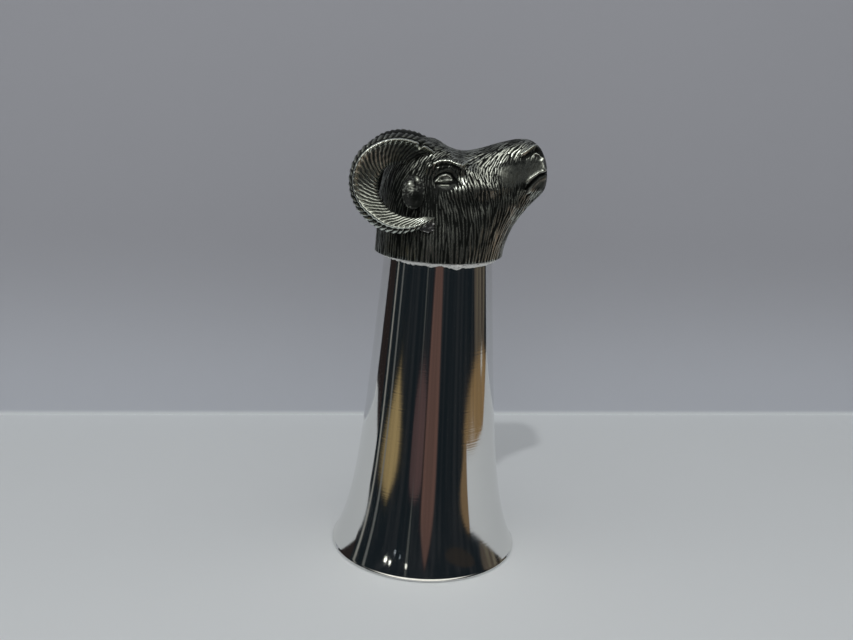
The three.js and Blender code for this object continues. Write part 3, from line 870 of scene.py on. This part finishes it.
def bare_places(x, z):
    """1 where the hair is full, falling to 0 on the eyes and almost to 0 on the nostrils and the lips."""
    eye = clear_rise(np.hypot(x - EYE_PLACE[0], z - EYE_PLACE[1]), *EYE_BARE)
    lips = clear_rise(x + LIPS_SLANT * (LIPS_LEVEL - z), *LIPS_EDGE) * clear_rise(z, *LIPS_FOOT)
    return eye * (1 - LIPS_BARE * lips)


def smooth_muzzle(x, z):
    """1 on the smooth side of the muzzle, falling to 0 where the hair starts."""
    return clear_rise(MUZZLE_REACH - path_distance(x, z, MUZZLE_LINE), 0, MUZZLE_FADE)


def eyeball(x, z):
    distance = np.hypot(x - EYE_PLACE[0], (z - EYE_PLACE[1]) * EYE_SQUASH)
    return EYE_BULGE * np.sqrt(np.clip(1 - (distance / EYE_RADIUS) ** 2, 0, 1))


def socket_radius(head, beaker, height):
    """Inside of the neck: the beaker's wall and room for solder."""
    return beaker_radius(beaker, beaker.seam_height + height) + head.clearance


def neck_core(head, beaker, columns):
    """Rings of the hollow in the neck, from the top of its dome down to the neck's foot."""
    top = beaker.spigot + head.clearance
    foot, ceiling = socket_radius(head, beaker, 0), socket_radius(head, beaker, top)
    angle = np.radians(np.linspace(DOME_TURN, 0, DOME_STEPS))
    dome = np.column_stack([ceiling * np.cos(angle), top + head.core_rise * np.sin(angle)])
    under = [[foot, 0], [(foot + head.neck_radius) / 2, 0]]
    radius, height = (np.vstack([dome, under]) / MM).T[:, :, None]
    return spun(-radius, full_turn(columns), height)


def muzzle_tip(last_ring):
    """Rings that close the muzzle towards the middle of its last ring."""
    middle = last_ring.mean(axis=0)
    shares = 1 - np.arange(1, TIP_STEPS + 1)[:, None, None] / (TIP_STEPS + 1)
    return middle + (last_ring - middle) * shares


class CUP_OT_head(bpy.types.Operator):
    """Cast the ram's head and chase its hair"""

    bl_idname = "cup.head"
    bl_label = "Cast the Head"

    def execute(self, context):
        head = context.scene.cup_head
        beaker = context.scene.cup_beaker
        points, flank = head_skin(head.rings, head.columns)
        normal, ring_step, column_step = outward(points)
        x, z = points[..., 0], points[..., 2]
        hair, crest = chase_hair(points, normal, ring_step, column_step, head.stroke_gap / MM, head.seed)
        bare = bare_places(x, z)
        lines = carved(x, z, FACE_LINES) * clear_rise(flank, *LINES_START)
        eye = eyeball(x, z) * clear_rise(flank, *EYES_START)
        ends = clear_rise(np.linspace(1, 0, head.rings), 0, TIP_SHARE)[:, None]
        settle = STROKE_SETTLE * lock_at(x, z)[..., 4]
        push = ((hair - settle) * bare + lines + eye) * ends
        skin = points + normal * push[..., None]
        core = neck_core(head, beaker, head.columns)
        tip = muzzle_tip(skin[-1])
        rings = np.concatenate([core, skin, tip])
        rings[..., 2] += beaker.seam_height / MM
        skin_wear = SKIN_WEAR * np.maximum(1 - bare, smooth_muzzle(x, z))
        # Partly painted highlight: the crests' brightness here follows the lamps as well as the relief.
        proud = np.clip(np.maximum(crest * bare, skin_wear) + LINE_WEAR * lines, 0, 1)
        relief = np.concatenate([np.zeros(core.shape[:2]), proud, np.full(tip.shape[:2], TIP_WEAR)])
        mesh = thinned(ringed_mesh("ram_head", rings, relief), MOST_TRIANGLES)
        add_piece("ram_head", mesh, finish_of(chased_pewter), "head_casting")
        return {"FINISHED"}


# Horns: a ridged, keeled section swept round a curl that leans outwards from poll to tip

HORN_CENTRE = (-12.4, 23.2)

# Corners of the section: from the inside of the curl at 0 to the keel at 1 and the outside at 2, and then
# a share of the half width, from the head outwards.
HORN_SECTION = [
    (1, 1), (0.68, 0.62), (0.36, 0.25), (0.08, -0.1), (0, -0.55), (0.2, -0.9),
    (0.7, -1), (1.5, -0.6), (2, 0.05), (1.7, 0.62), (1, 1),
]
# From root to tip: share of the curl's radius, depth, half width, distance from the middle plane.
HORN_STATIONS = np.array([
    (1.02, 8, 3.2, 6.2),
    (0.95, 9.2, 4.8, 10.6),
    (0.99, 9.3, 4.7, 14),
    (1.05, 9.2, 4.3, 17),
    (1.03, 8.3, 3.8, 19.2),
    (0.99, 7, 3.2, 20.6),
    (0.97, 5.2, 2.4, 21.2),
    (0.94, 1.6, 0.8, 21),
])
RINGS_PER_RIDGE = 14
HORN_POINTS = 96
# Shares of the way round the section from keel to keel: where the face's ridges end, up to where their slant
# counts, and where the band's ridges start.
FACE_END = (0.37, 0.42)
FACE_SIDE = 0.5
BAND_START = (0.72, 0.8)
# How many ridges the line of a ridge leans by, from the keel to the inside of the curl or to the outside.
FACE_SLANT = 4.3
BAND_SLANT = 1.1
# Where a ridge is highest between its two valleys, and the level that its swelling is measured from.
RIDGE_SKEW = 0.72
RIDGE_MIDDLE = 0.6
# How far and how fast the ridges wander along the horn, a seed, and the height of the band's as a share.
RIDGE_WANDER = 0.22
WANDER_PACE = 60
WANDER_SEED = 8
BAND_RIDGES = 0.8
# Depth of the section at which ridges and keel have their full height, and the least shares of it.
FULL_DEPTH = 8
LEAST_RIDGE = 0.35
LEAST_KEEL = 0.3
# The tip: where it starts to close, how far it closes, and the last share of the horn where the ridges fade.
TIP_START = 0.965
TIP_CLOSING = 0.999
TIP_FADE = 0.1
KEEL_WIDTH = 0.036
KEEL_RISE = 0.42
# How far the ridges are cleared away from the keel.
KEEL_CLEAR = 0.8
GROOVE_PLACE = 0.955
GROOVE_WIDTH = 0.012
GROOVE_DEPTH = 0.3
# The fold in the keel near the root: where along the horn, how long, how wide and how deep.
FOLD = (0.139, 0.009, 0.06, 1.5)
# The band widens towards the tip: where along the horn, by what share, and its most as a share of the depth.
BAND_WIDENS = (0.5, 0.8)
BAND_GAIN = 1.1
BAND_MOST = 0.42
# How far the ridges are rubbed bright on the face and on the band: places along the horn, and shares. On the
# face this is partly rubbing and partly painted highlight, raised from the top of the curl round its left
# side, where the lamps catch it.
FACE_RUB_AND_HIGHLIGHT = [(0.25, 0.5, 0.65), (0.62, 0.92, 1.0)]
BAND_RUB = [(0.4, 0.7), (0.42, 1.1)]
# Power that broadens the face's bright crests, how unevenly they are rubbed, and the lumps' width and seed.
FACE_CREST = 0.7
RUB_SPREAD = 0.2
RUB_LUMPS = (0.5, 9)
# How bright the horn is in its valleys, and what the rubbed ridges, the keel and the groove add or take.
HORN_WEAR = 0.12
RUB_WEAR = 0.85
KEEL_WEAR = 0.9
GROOVE_WEAR = 0.8


def horn_ridges(ridges, share, section, level):
    """Height of the ridges, from 0 in a valley to 1 on a crest."""
    along = np.concatenate([share * WANDER_PACE, 0 * share, 0 * share], axis=1)
    wander = RIDGE_WANDER * uneven(along, 1, WANDER_SEED)[:, None]
    slant = np.where(section < FACE_SIDE, FACE_SLANT, BAND_SLANT) * (level - 1)
    part = (ridges * share + slant + wander) % 1
    return clear_rise(np.minimum(part / RIDGE_SKEW, (1 - part) / (1 - RIDGE_SKEW)), 0, 1)


def horn_rings(horn):
    """Rings of the left horn, and how far each point stands proud, with painted highlight on the face's
    ridges.
    """
    share = np.linspace(0, 1, horn.ridges * RINGS_PER_RIDGE + 1)
    curl, depth, half_width, out = smooth_line(HORN_STATIONS, share).T[:, :, None]
    section = np.linspace(0, 1, HORN_POINTS, endpoint=False)
    level, reach = smooth_line(HORN_SECTION, section).T[:, None, :]
    face_rub_and_highlight, band_rub = (np.interp(share, *rub_and_highlight)[:, None] for rub_and_highlight in (FACE_RUB_AND_HIGHLIGHT, BAND_RUB))
    share, section = share[:, None], section[None, :]

    point = np.sqrt(1 - TIP_CLOSING * clear_rise(share, TIP_START, 1))
    depth, half_width = depth * point, half_width * point
    on_face = 1 - clear_rise(section, *FACE_END)
    on_band = clear_rise(section, *BAND_START)
    from_keel = np.minimum(section, 1 - section)
    keel = hump(from_keel, KEEL_WIDTH)
    groove = hump(section - GROOVE_PLACE, GROOVE_WIDTH)

    rib = horn_ridges(horn.ridges, share, section, level)
    ridged = (on_face + BAND_RIDGES * on_band) * (1 - KEEL_CLEAR * keel) * clear_rise(1 - share, 0, TIP_FADE)
    full = depth / FULL_DEPTH
    swell = horn.ridge_depth / MM * ridged * (rib - RIDGE_MIDDLE) * np.clip(full, LEAST_RIDGE, 1)
    swell += (KEEL_RISE * keel - GROOVE_DEPTH * groove) * np.clip(full, LEAST_KEEL, 1)
    fold_place, fold_length, fold_width, fold_depth = FOLD
    fold = fold_depth * hump(share - fold_place, fold_length) * hump(from_keel, fold_width)
    widening = 1 + BAND_GAIN * clear_rise(share, *BAND_WIDENS)
    band = np.minimum(horn.keel_band / MM * widening, depth * BAND_MOST)
    inset = np.where(level > 1, band * (2 - level), band + (depth - band) * (1 - level)) + fold

    radius = horn.radius / MM * curl - inset + swell * (level - 1)
    lateral = out + (half_width + swell) * reach
    angle = horn.start + horn.sweep * share
    x = HORN_CENTRE[0] + radius * np.cos(angle)
    z = HORN_CENTRE[1] + radius * np.sin(angle)
    rings = np.stack([x, lateral, z], axis=-1)
    face_rub_and_highlight = face_rub_and_highlight + RUB_SPREAD * uneven(rings, *RUB_LUMPS)
    # Partly painted highlight: the face's ridges are brighter where the lamps catch the curl.
    rub_and_highlight = rib ** FACE_CREST * face_rub_and_highlight * on_face + rib * band_rub * on_band
    proud = HORN_WEAR + RUB_WEAR * rub_and_highlight + KEEL_WEAR * keel - GROOVE_WEAR * groove
    return rings, np.clip(proud, 0, 1)


class CUP_OT_horns(bpy.types.Operator):
    """Cast the two horns"""

    bl_idname = "cup.horns"
    bl_label = "Cast the Horns"

    def execute(self, context):
        rings, relief = horn_rings(context.scene.cup_horn)
        add_casting_pair("ridged_horn", "horn", rings, relief, context.scene.cup_beaker.seam_height)
        return {"FINISHED"}


# Ears: a cupped leaf that hangs beside the cheek inside the horn's curl

EAR_ROOT = (-8.6, 25.8)
EAR_RINGS = 72
EAR_POINTS = 72
# Lumps and hollows of the outer face: place across and along, width, length, height.
EAR_FORMS = [
    (0.35, 0.17, 0.34, 0.11, 0.5),
    (-0.42, 0.3, 0.26, 0.1, 0.38),
    (-0.1, 0.42, 0.5, 0.16, 0.3),
    (0.1, 0.3, 0.1, 0.2, -0.22),
    (0.36, 0.75, 0.38, 0.15, -0.72),
]
# The leaf's outline: how square it is and the least share of its width at the ends.
LEAF_SQUARENESS = 2.3
LEAF_LEAST = 0.02
# How far the leaf thins towards its tip, the share of the cup that bends it, and where its outer face starts.
THINNING = 0.55
CUP_SHARE = 0.55
OUTER_START = 0.3
# The raised rim: how narrow it is along the sides, where it starts at the tip, and its height.
RIM_NARROWNESS = 6
RIM_START = (0.86, 0.97)
RIM_HEIGHT = 0.3
# Pits: width of the coarse and fine ones, share of the fine ones, seed, and then their depth.
EAR_PITS = (0.55, 0.25, 0.6, 3)
PIT_DEPTH = 0.05
# How bright the outer face is, kept low as painted shade from the horn that curls round it, and what its
# forms, its rim and its pits add.
EAR_SHADED_WEAR = 0.13
FORM_WEAR = 0.9
RIM_WEAR = 0.15
PIT_WEAR = 0.18
# Rings and columns of the bare head on which the ear's root is looked up.
FLANK_GRID = (90, 120)


def flank_at(x, z):
    """Distance of the head's flank from the middle plane at a place in the side view."""
    points, _ = head_skin(*FLANK_GRID)
    right = points[points[..., 1] <= 0]
    return -right[np.hypot(right[:, 0] - x, right[:, 2] - z).argmin()][1]


def ear_rings(ear):
    """Rings of the left ear, and how far each point stands proud, with the outer face kept dark as painted
    shade from the horn.
    """
    share = np.linspace(0, 1, EAR_RINGS)[:, None]
    turn = full_turn(EAR_POINTS)[None, :]
    leaf = np.clip(1 - np.abs(2 * share - 1) ** LEAF_SQUARENESS, LEAF_LEAST ** 2, 1) ** 0.5
    across = np.cos(turn)
    cup = CUP_SHARE * ear.cup / MM * np.sin(math.pi * share) * (1 - across ** 2)
    half_thickness = ear.thickness / MM / 2 * (1 - THINNING * share) * leaf
    outer = clear_rise(np.sin(turn), 0, OUTER_START)
    forms = sum(
        height * hump(across - middle, width) * hump(share - along, reach)
        for middle, along, width, reach, height in EAR_FORMS
    )
    rim = np.abs(across) ** RIM_NARROWNESS + clear_rise(share, *RIM_START)
    out = half_thickness * np.sin(turn) - cup + outer * (forms + RIM_HEIGHT * rim)
    drop = -ear.length / MM * share
    root = flank_at(*EAR_ROOT) + ear.thickness / MM / 2
    rings = np.stack([
        EAR_ROOT[0] + ear.width / MM / 2 * leaf * across,
        root + out * math.cos(ear.splay) - drop * math.sin(ear.splay),
        EAR_ROOT[1] + drop * math.cos(ear.splay) + out * math.sin(ear.splay),
    ], axis=-1)
    pits = lumpy(rings, *EAR_PITS)
    rings[..., 1] += PIT_DEPTH * pits * outer * leaf
    # Painted shade: the outer face's brightness starts low to stand for the horn's shadow.
    proud = EAR_SHADED_WEAR + FORM_WEAR * forms + RIM_WEAR * rim + PIT_WEAR * pits
    return rings, np.clip(outer * proud, 0, 1)


class CUP_OT_ears(bpy.types.Operator):
    """Cast the two ears"""

    bl_idname = "cup.ears"
    bl_label = "Cast the Ears"

    def execute(self, context):
        rings, relief = ear_rings(context.scene.cup_ear)
        add_casting_pair("cupped_ear", "ear", rings, relief, context.scene.cup_beaker.seam_height)
        return {"FINISHED"}


# Solder: an uneven bead under the neck and a drop that holds each horn's tip to the cheek

BEAD_SEGMENTS = 300
BEAD_POINTS = 26
# Where solder gathered: angle round the neck and half its spread in degrees, and how much.
BEAD_LUMPS = [
    (-62, 34, 0.28),
    (-72, 4, 0.3),
    (-66, 3, -0.16),
    (-88, 5, -0.18),
    (-97, 3, 0.14),
    (-118, 7, 0.14),
    (-150, 26, -0.12),
    (30, 20, 0.1),
    (120, 40, 0.2),
    (160, 14, -0.14),
]
BEAD_SIZE = 0.66
# Unevenness of the bead's edge and skin, and of a drop's skin: width of its coarse and fine lumps, share of
# the fine ones, and seed.
BEAD_EDGE = (1.6, 0.6, 1, 6)
BEAD_SKIN = (1.3, 0.5, 0.7, 1)
TACK_SKIN = (0.42, 0.16, 0.7, 5)
# How ragged the bead's edge is, and the radius of the circle that its unevenness is read on.
BEAD_RAGGED = 0.1
RAGGED_RADIUS = 20
# Outline of the bead: shares of its reach outwards and of its height down. It starts under the neck's edge.
BEAD_TOP = 0.15
BEAD_OUTLINE = [(0, BEAD_TOP), (1, BEAD_TOP), (0.95, 0.45), (0.55, 0.9), (0.06, 1)]
# How far the bead's lumps hang down, as a share of how far they stand out.
BEAD_SAG = 0.8
TACK_RINGS = 48
TACK_POINTS = 72
TACK_POLE = 0.02
# Size of a drop as a share of its box, and what its lumps add or take.
TACK_SIZE = 0.76
TACK_LUMPS = 0.23
# How bright the solder is, and what its lumps add.
BEAD_WEAR = (0.65, 0.35)
TACK_WEAR = (0.12, 0.45)


def wear_of(rough, base, gain):
    return np.clip(base + gain * rough, 0, 1)


def bead_rings(beaker, head, solder):
    """Rings of the bead, one at each angle round the neck, and how far each point stands proud."""
    angle = full_turn(BEAD_SEGMENTS)[:, None]
    turned = np.degrees(angle)
    lump = BEAD_SIZE + sum(
        size * hump((turned - place + 180) % 360 - 180, spread) for place, spread, size in BEAD_LUMPS
    )
    round_neck = spun(RAGGED_RADIUS, angle, 0 * angle)
    lump = lump + BEAD_RAGGED * lumpy(round_neck, *BEAD_EDGE)
    gap = head.clearance / MM
    wall = socket_radius(head, beaker, 0) / MM
    out, down = smooth_line(BEAD_OUTLINE, np.linspace(0, 1, BEAD_POINTS)).T[:, None, :]
    radius = wall + solder.bead_reach / MM * lump * out
    height = solder.bead_height / MM * lump - gap
    rings = spun(radius, angle, -gap - height * (down - BEAD_TOP) / (1 - BEAD_TOP))
    rough = lumpy(rings, *BEAD_SKIN)
    free = np.sin(math.pi * np.linspace(0, 1, BEAD_POINTS))
    bulge = solder.roughness / MM * rough * free
    return rings + spun(bulge, angle, -BEAD_SAG * bulge), wear_of(rough, *BEAD_WEAR)


class CUP_OT_neck_solder(bpy.types.Operator):
    """Run the bead of solder under the neck"""

    bl_idname = "cup.neck_solder"
    bl_label = "Run the Neck Solder"

    def execute(self, context):
        scene = context.scene
        rings, relief = bead_rings(scene.cup_beaker, scene.cup_head, scene.cup_solder)
        rings[..., 2] += scene.cup_beaker.seam_height / MM
        mesh = ringed_mesh("neck_solder", rings, relief, closed=True)
        add_piece("neck_solder", mesh, finish_of(soft_solder), "neck_solder_bead")
        return {"FINISHED"}


def tack_rings(low, high):
    """A lumpy drop that fills a box, and how far each point stands proud."""
    polar = np.linspace(TACK_POLE, math.pi - TACK_POLE, TACK_RINGS)[:, None]
    turn = full_turn(TACK_POINTS)[None, :]
    ball = spun(np.sin(polar), turn, np.cos(polar))
    rough = lumpy(ball, *TACK_SKIN)
    size = TACK_SIZE + TACK_LUMPS * np.clip(rough, -1, 1)
    low, high = np.array(low) / MM, np.array(high) / MM
    middle, half = (low + high) / 2, (high - low) / 2
    return middle + ball * size[..., None] * half, wear_of(rough, *TACK_WEAR)


class CUP_OT_horn_tacks(bpy.types.Operator):
    """Drop the solder that holds the horns' tips"""

    bl_idname = "cup.horn_tacks"
    bl_label = "Drop the Horn Tacks"

    def execute(self, context):
        finish = finish_of(soft_solder)
        for word in SIDES:
            node = f"{word}_horn_tack"
            rings, relief = tack_rings(*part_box(node))
            mesh = ringed_mesh(f"solder_drop_{word}", rings, relief)
            add_piece(f"solder_drop_{word}", mesh, finish, node)
        return {"FINISHED"}


# Stage: a pale floor and backdrop, a soft lamp and a dim room for the polished metal to mirror

CAMERA_PLACE = (-2.66, -294, 152.3)
CAMERA_DIP = math.radians(14.17)
CAMERA_ROLL = math.radians(3.06)
SENSOR_WIDTH = 36
NEAREST_SEEN = 1
KEY_AIM = (5, 0, 110)
KEY_DIRECTION = (-0.07, -0.61, 0.79)
KEY_DISTANCE = 700
KEY_SIZE = 24
FLOOR_SIZE = 4000
FLOOR_DROP = 0.05
WALL_PLACE = 124
WALL_TURN = math.radians(8.8)
# Heights up to which the backdrop is paler with painted bounce light from the floor, and up to which it takes
# on the floor's colour.
BOUNCE_LIGHT_HEIGHT = 90
COVE_HEIGHT = 2.5
# What the metal mirrors of the table: corners of its top and of its edge, and how far the edge stands up.
TABLE_CORNERS = [
    (-245, 70), (-185, 3), (-125, -3), (-80, -62), (186, -88), (192, 40), (330, 178), (330, 260), (-245, 260),
]
TABLE_EDGE = [(50, -100), (196, -106), (186, -90), (130, -66), (80, -42), (50, -38)]
EDGE_RISE = 0.2
# Ends of the wall that the metal mirrors, and the height of every wall.
MIRRORED_WALL = (-210, 320)
WALL_HEIGHT = 700
# What stands in the dim room: its shape, bearing from the camera's side in degrees and rise, half its
# width and height, and its colour.
ROOM_THINGS = [
    ("right shelf", "oval", 100, 0.08, 20, 0.34, (0.085, 0.07, 0.055)),
    ("low shelf", "oval", 50, 0.13, 20, 0.08, (0.024, 0.021, 0.018)),
    ("left ochre", "kite", -60, -0.25, 26, 0.088, (0.34, 0.25, 0.115)),
    ("right ochre", "oval", 92, -0.265, 37, 0.09, (0.24, 0.155, 0.072)),
    ("plum", "oval", -16, -0.2, 11, 0.062, (0.086, 0.053, 0.052)),
    ("brown", "kite", 4, -0.2, 11.5, 0.48, (0.12, 0.068, 0.056)),
    ("brown's shade", "oval", -6, -0.15, 1.2, 0.16, (0.02, 0.016, 0.018)),
    ("dim corner", "oval", -106, -0.05, 11, 0.5, (0.022, 0.016, 0.015)),
    ("first bright edge", "oval", -89, 0.1, 1.7, 0.9, (0.26, 0.26, 0.24)),
    ("second bright edge", "oval", -74, 0.1, 1.7, 0.9, (0.15, 0.155, 0.15)),
    ("grey edge", "oval", -19, 0.2, 1.3, 0.37, (0.085, 0.09, 0.085)),
    ("first tan edge", "oval", 91, 0.05, 2.4, 0.22, (0.12, 0.105, 0.075)),
    ("second tan edge", "oval", 100, 0.05, 2, 0.22, (0.15, 0.135, 0.1)),
    ("dark edge", "oval", 106, 0.05, 1.8, 0.22, (0.01, 0.01, 0.01)),
    ("third tan edge", "oval", 112, 0.05, 2.6, 0.22, (0.13, 0.12, 0.09)),
    ("white spot", "oval", 104, -0.19, 3, 0.01, (0.5, 0.5, 0.47)),
    ("white card", "oval", 78, -0.33, 17, 0.1, (0.56, 0.55, 0.53)),
    ("warm boards", "oval", 95, -0.5, 50, 0.21, (0.26, 0.17, 0.13)),
    ("ceiling glow", "oval", 0, 0.72, 125, 0.29, (0.4, 0.395, 0.37)),
    ("ceiling panel", "oval", 0, 0.74, 108, 0.25, (1.3, 1.28, 1.19)),
    ("first bulb", "oval", -46, 0.19, 2, 0.024, (3, 3, 2.7)),
    ("second bulb", "oval", -40, 0.22, 1.4, 0.018, (3, 3, 2.7)),
    ("third bulb", "oval", -19, 0.26, 1.2, 0.024, (2, 2, 1.8)),
    ("fourth bulb", "oval", -35, 0.13, 1, 0.012, (0.9, 1, 1.1)),
    ("fifth bulb", "oval", -28, 0.17, 0.8, 0.01, (0.7, 0.8, 0.9)),
]
# How soft the edges of these things are.
ROOM_EDGE = 0.16
ROOM_DARK = (0.008, 0.012, 0.015)
ROOM_DIM = (0.018, 0.021, 0.024)
ROOM_CEILING = (0.060, 0.062, 0.060)
# How far the dark streaks show through the things, and where the ceiling comes in.
ROOM_STREAKS = 0.25
CEILING_RISE = (0.4, 0.8)


def stage_mesh(name, corners, finish):
    mesh = bpy.data.meshes.new(name)
    mesh.from_pydata([[c * MM for c in corner] for corner in corners], [], [range(len(corners))])
    mesh.materials.append(finish)
    obj = add_object(name, mesh)
    return obj


def matt_finish(name, tone, foot=None, cove=None):
    """Matt paint. With a foot and a cove, it is a wall's one-sided paint, paler near the floor with painted
    bounce light, and in the floor's colour at its lowest edge.
    """
    material, bench = new_finish(name)
    place = bench.place()
    cloudy = bench.mix(bench.speckle(place, 9), dimmed(tone, 0.97), tone)
    if foot is None:
        close_finish(bench, bench.node("ShaderNodeBsdfDiffuse", {}, {"Color": cloudy})["BSDF"])
        return material
    height = bench.height(place)
    # Painted bounce light from the floor: the backdrop grows paler towards its foot.
    cloudy = bench.mix(bench.rise(height, 0, BOUNCE_LIGHT_HEIGHT * MM), foot, cloudy)
    cloudy = bench.mix(bench.rise(height, 0, COVE_HEIGHT * MM), cove, cloudy)
    paint = bench.node("ShaderNodeBsdfDiffuse", {}, {"Color": cloudy})["BSDF"]
    behind = bench.node("ShaderNodeNewGeometry")["Backfacing"]
    clear = bench.node("ShaderNodeBsdfTransparent")["BSDF"]
    close_finish(bench, bench.node("ShaderNodeMixShader", {}, {0: behind, 1: paint, 2: clear})[0])
    return material


def only_mirrored(obj):
    """The piece of stage is seen in polished metal and nowhere else."""
    obj.visible_camera = False
    obj.visible_diffuse = False
    obj.visible_shadow = False
    obj.visible_transmission = False


def level_corners(corners, height):
    return [(x, y, height) for x, y in corners]


def add_floor(stage):
    half = FLOOR_SIZE / 2
    square = [(-half, -half), (half, -half), (half, half), (-half, half)]
    paint = matt_finish("floor_paint", stage.floor)
    edge_paint = matt_finish("table_edge_paint", stage.edge)
    floor = stage_mesh("floor", level_corners(square, -FLOOR_DROP), paint)
    floor.visible_glossy = False
    only_mirrored(stage_mesh("mirrored_table", level_corners(TABLE_CORNERS, 0), paint))
    only_mirrored(stage_mesh("mirrored_table_edge", level_corners(TABLE_EDGE, EDGE_RISE), edge_paint))


def wall_corners(ends):
    low = [(x, WALL_PLACE + math.tan(WALL_TURN) * x, -FLOOR_DROP) for x in ends]
    return low + [(x, y, WALL_HEIGHT) for x, y, _ in reversed(low)]


def add_backdrop(stage):
    paint = matt_finish("backdrop_paint", stage.backdrop, stage.skirting, stage.floor)
    wall = stage_mesh("backdrop", wall_corners((-FLOOR_SIZE / 2, FLOOR_SIZE / 2)), paint)
    wall.visible_glossy = False
    only_mirrored(stage_mesh("mirrored_backdrop", wall_corners(MIRRORED_WALL), paint))


def add_room(stage):
    """The world: soft light all round, a pale ground for the camera and a dim room for the metal."""
    world = bpy.data.worlds.new("studio")
    world.use_nodes = True
    bpy.context.scene.world = world
    bench = NodeBench(world.node_tree)
    way = bench.node("ShaderNodeTexCoord")["Generated"]
    parts = bench.node("ShaderNodeSeparateXYZ", {}, {0: way})
    ahead = 0 - parts["Y"]
    bearing = ahead.math("ARCTAN2", parts["X"], ahead) * (180 / math.pi)
    rise = parts["Z"]
    clutter = bench.rise(bench.speckle(bench.drawn_out(way, 0.12), 11, 4), 0.42, 0.68)
    room = bench.mix(clutter, ROOM_DARK, ROOM_DIM)
    room = bench.mix(bench.rise(rise, *CEILING_RISE), room, ROOM_CEILING)
    for _, shape, thing_bearing, thing_rise, half_width, half_height, tone in ROOM_THINGS:
        aside = (bearing - thing_bearing) * (1 / half_width)
        above = (rise - thing_rise) * (1 / half_height)
        spread = abs(aside) + abs(above) if shape == "kite" else aside * aside + above * above
        shown = 1 - bench.rise(spread, 1 - ROOM_EDGE, 1 + ROOM_EDGE)
        room = bench.mix(shown * (1 - ROOM_STREAKS + ROOM_STREAKS * clutter), room, tone)
    rays = bench.node("ShaderNodeLightPath")
    seen = bench.mix(rays["Is Glossy Ray"], (stage.fill,) * 3, room)
    seen = bench.mix(rays["Is Camera Ray"], seen, stage.backdrop)
    ground = bench.node("ShaderNodeBackground", {}, {"Color": seen, "Strength": 1.0})[0]
    bench.node("ShaderNodeOutputWorld", {}, {"Surface": ground})


def add_lamp(stage):
    data = bpy.data.lights.new("key_lamp", "AREA")
    data.shape = "DISK"
    data.size = KEY_SIZE * MM
    data.energy = stage.key_power
    lamp = add_object("key_lamp", data)
    way = Vector(KEY_DIRECTION).normalized()
    lamp.location = (Vector(KEY_AIM) + way * KEY_DISTANCE) * MM
    lamp.rotation_euler = way.to_track_quat("Z", "Y").to_euler()


def add_camera(stage):
    data = bpy.data.cameras.new("camera")
    data.lens = stage.lens
    data.sensor_width = SENSOR_WIDTH
    data.clip_start = NEAREST_SEEN * MM
    camera = add_object("camera", data)
    tilt = Matrix.Rotation(math.pi / 2 - CAMERA_DIP, 4, "X") @ Matrix.Rotation(CAMERA_ROLL, 4, "Z")
    camera.matrix_world = Matrix.Translation(Vector(CAMERA_PLACE) * MM) @ tilt
    bpy.context.scene.camera = camera


class CUP_OT_stage(bpy.types.Operator):
    """Set the floor, the light and the camera"""

    bl_idname = "cup.stage"
    bl_label = "Set the Stage"

    def execute(self, context):
        stage = context.scene.cup_stage
        context.scene.view_settings.view_transform = "Standard"
        add_floor(stage)
        add_backdrop(stage)
        add_room(stage)
        add_lamp(stage)
        add_camera(stage)
        return {"FINISHED"}


# Add-on

SETTINGS = {
    "cup_beaker": BeakerSettings,
    "cup_head": HeadSettings,
    "cup_horn": HornSettings,
    "cup_ear": EarSettings,
    "cup_solder": SolderSettings,
    "cup_finish": FinishSettings,
    "cup_stage": StageSettings,
}
STEPS = [
    CUP_OT_stage,
    CUP_OT_beaker,
    CUP_OT_head,
    CUP_OT_horns,
    CUP_OT_ears,
    CUP_OT_neck_solder,
    CUP_OT_horn_tacks,
]


class CUP_PT_sidebar(bpy.types.Panel):
    """Lists the cup's settings and the steps that make it"""

    bl_idname = "CUP_PT_sidebar"
    bl_label = "Stirrup Cup"
    bl_space_type = "VIEW_3D"
    bl_region_type = "UI"
    bl_category = "Stirrup Cup"

    def draw(self, context):
        for step in STEPS:
            self.layout.operator(step.bl_idname)
        for name, group in SETTINGS.items():
            box = self.layout.box()
            for prop in group.__annotations__:
                box.prop(getattr(context.scene, name), prop)


CLASSES = [*SETTINGS.values(), *STEPS, CUP_PT_sidebar]


def register():
    for cls in CLASSES:
        bpy.utils.register_class(cls)
    for name, group in SETTINGS.items():
        setattr(bpy.types.Scene, name, PointerProperty(type=group))


def unregister():
    for name in SETTINGS:
        delattr(bpy.types.Scene, name)
    for cls in reversed(CLASSES):
        bpy.utils.unregister_class(cls)


def main():
    register()
    bpy.ops.cup.stage()
    bpy.ops.cup.beaker()
    bpy.ops.cup.head()
    bpy.ops.cup.horns()
    bpy.ops.cup.ears()
    bpy.ops.cup.neck_solder()
    bpy.ops.cup.horn_tacks()


if __name__ == "__main__":
    main()
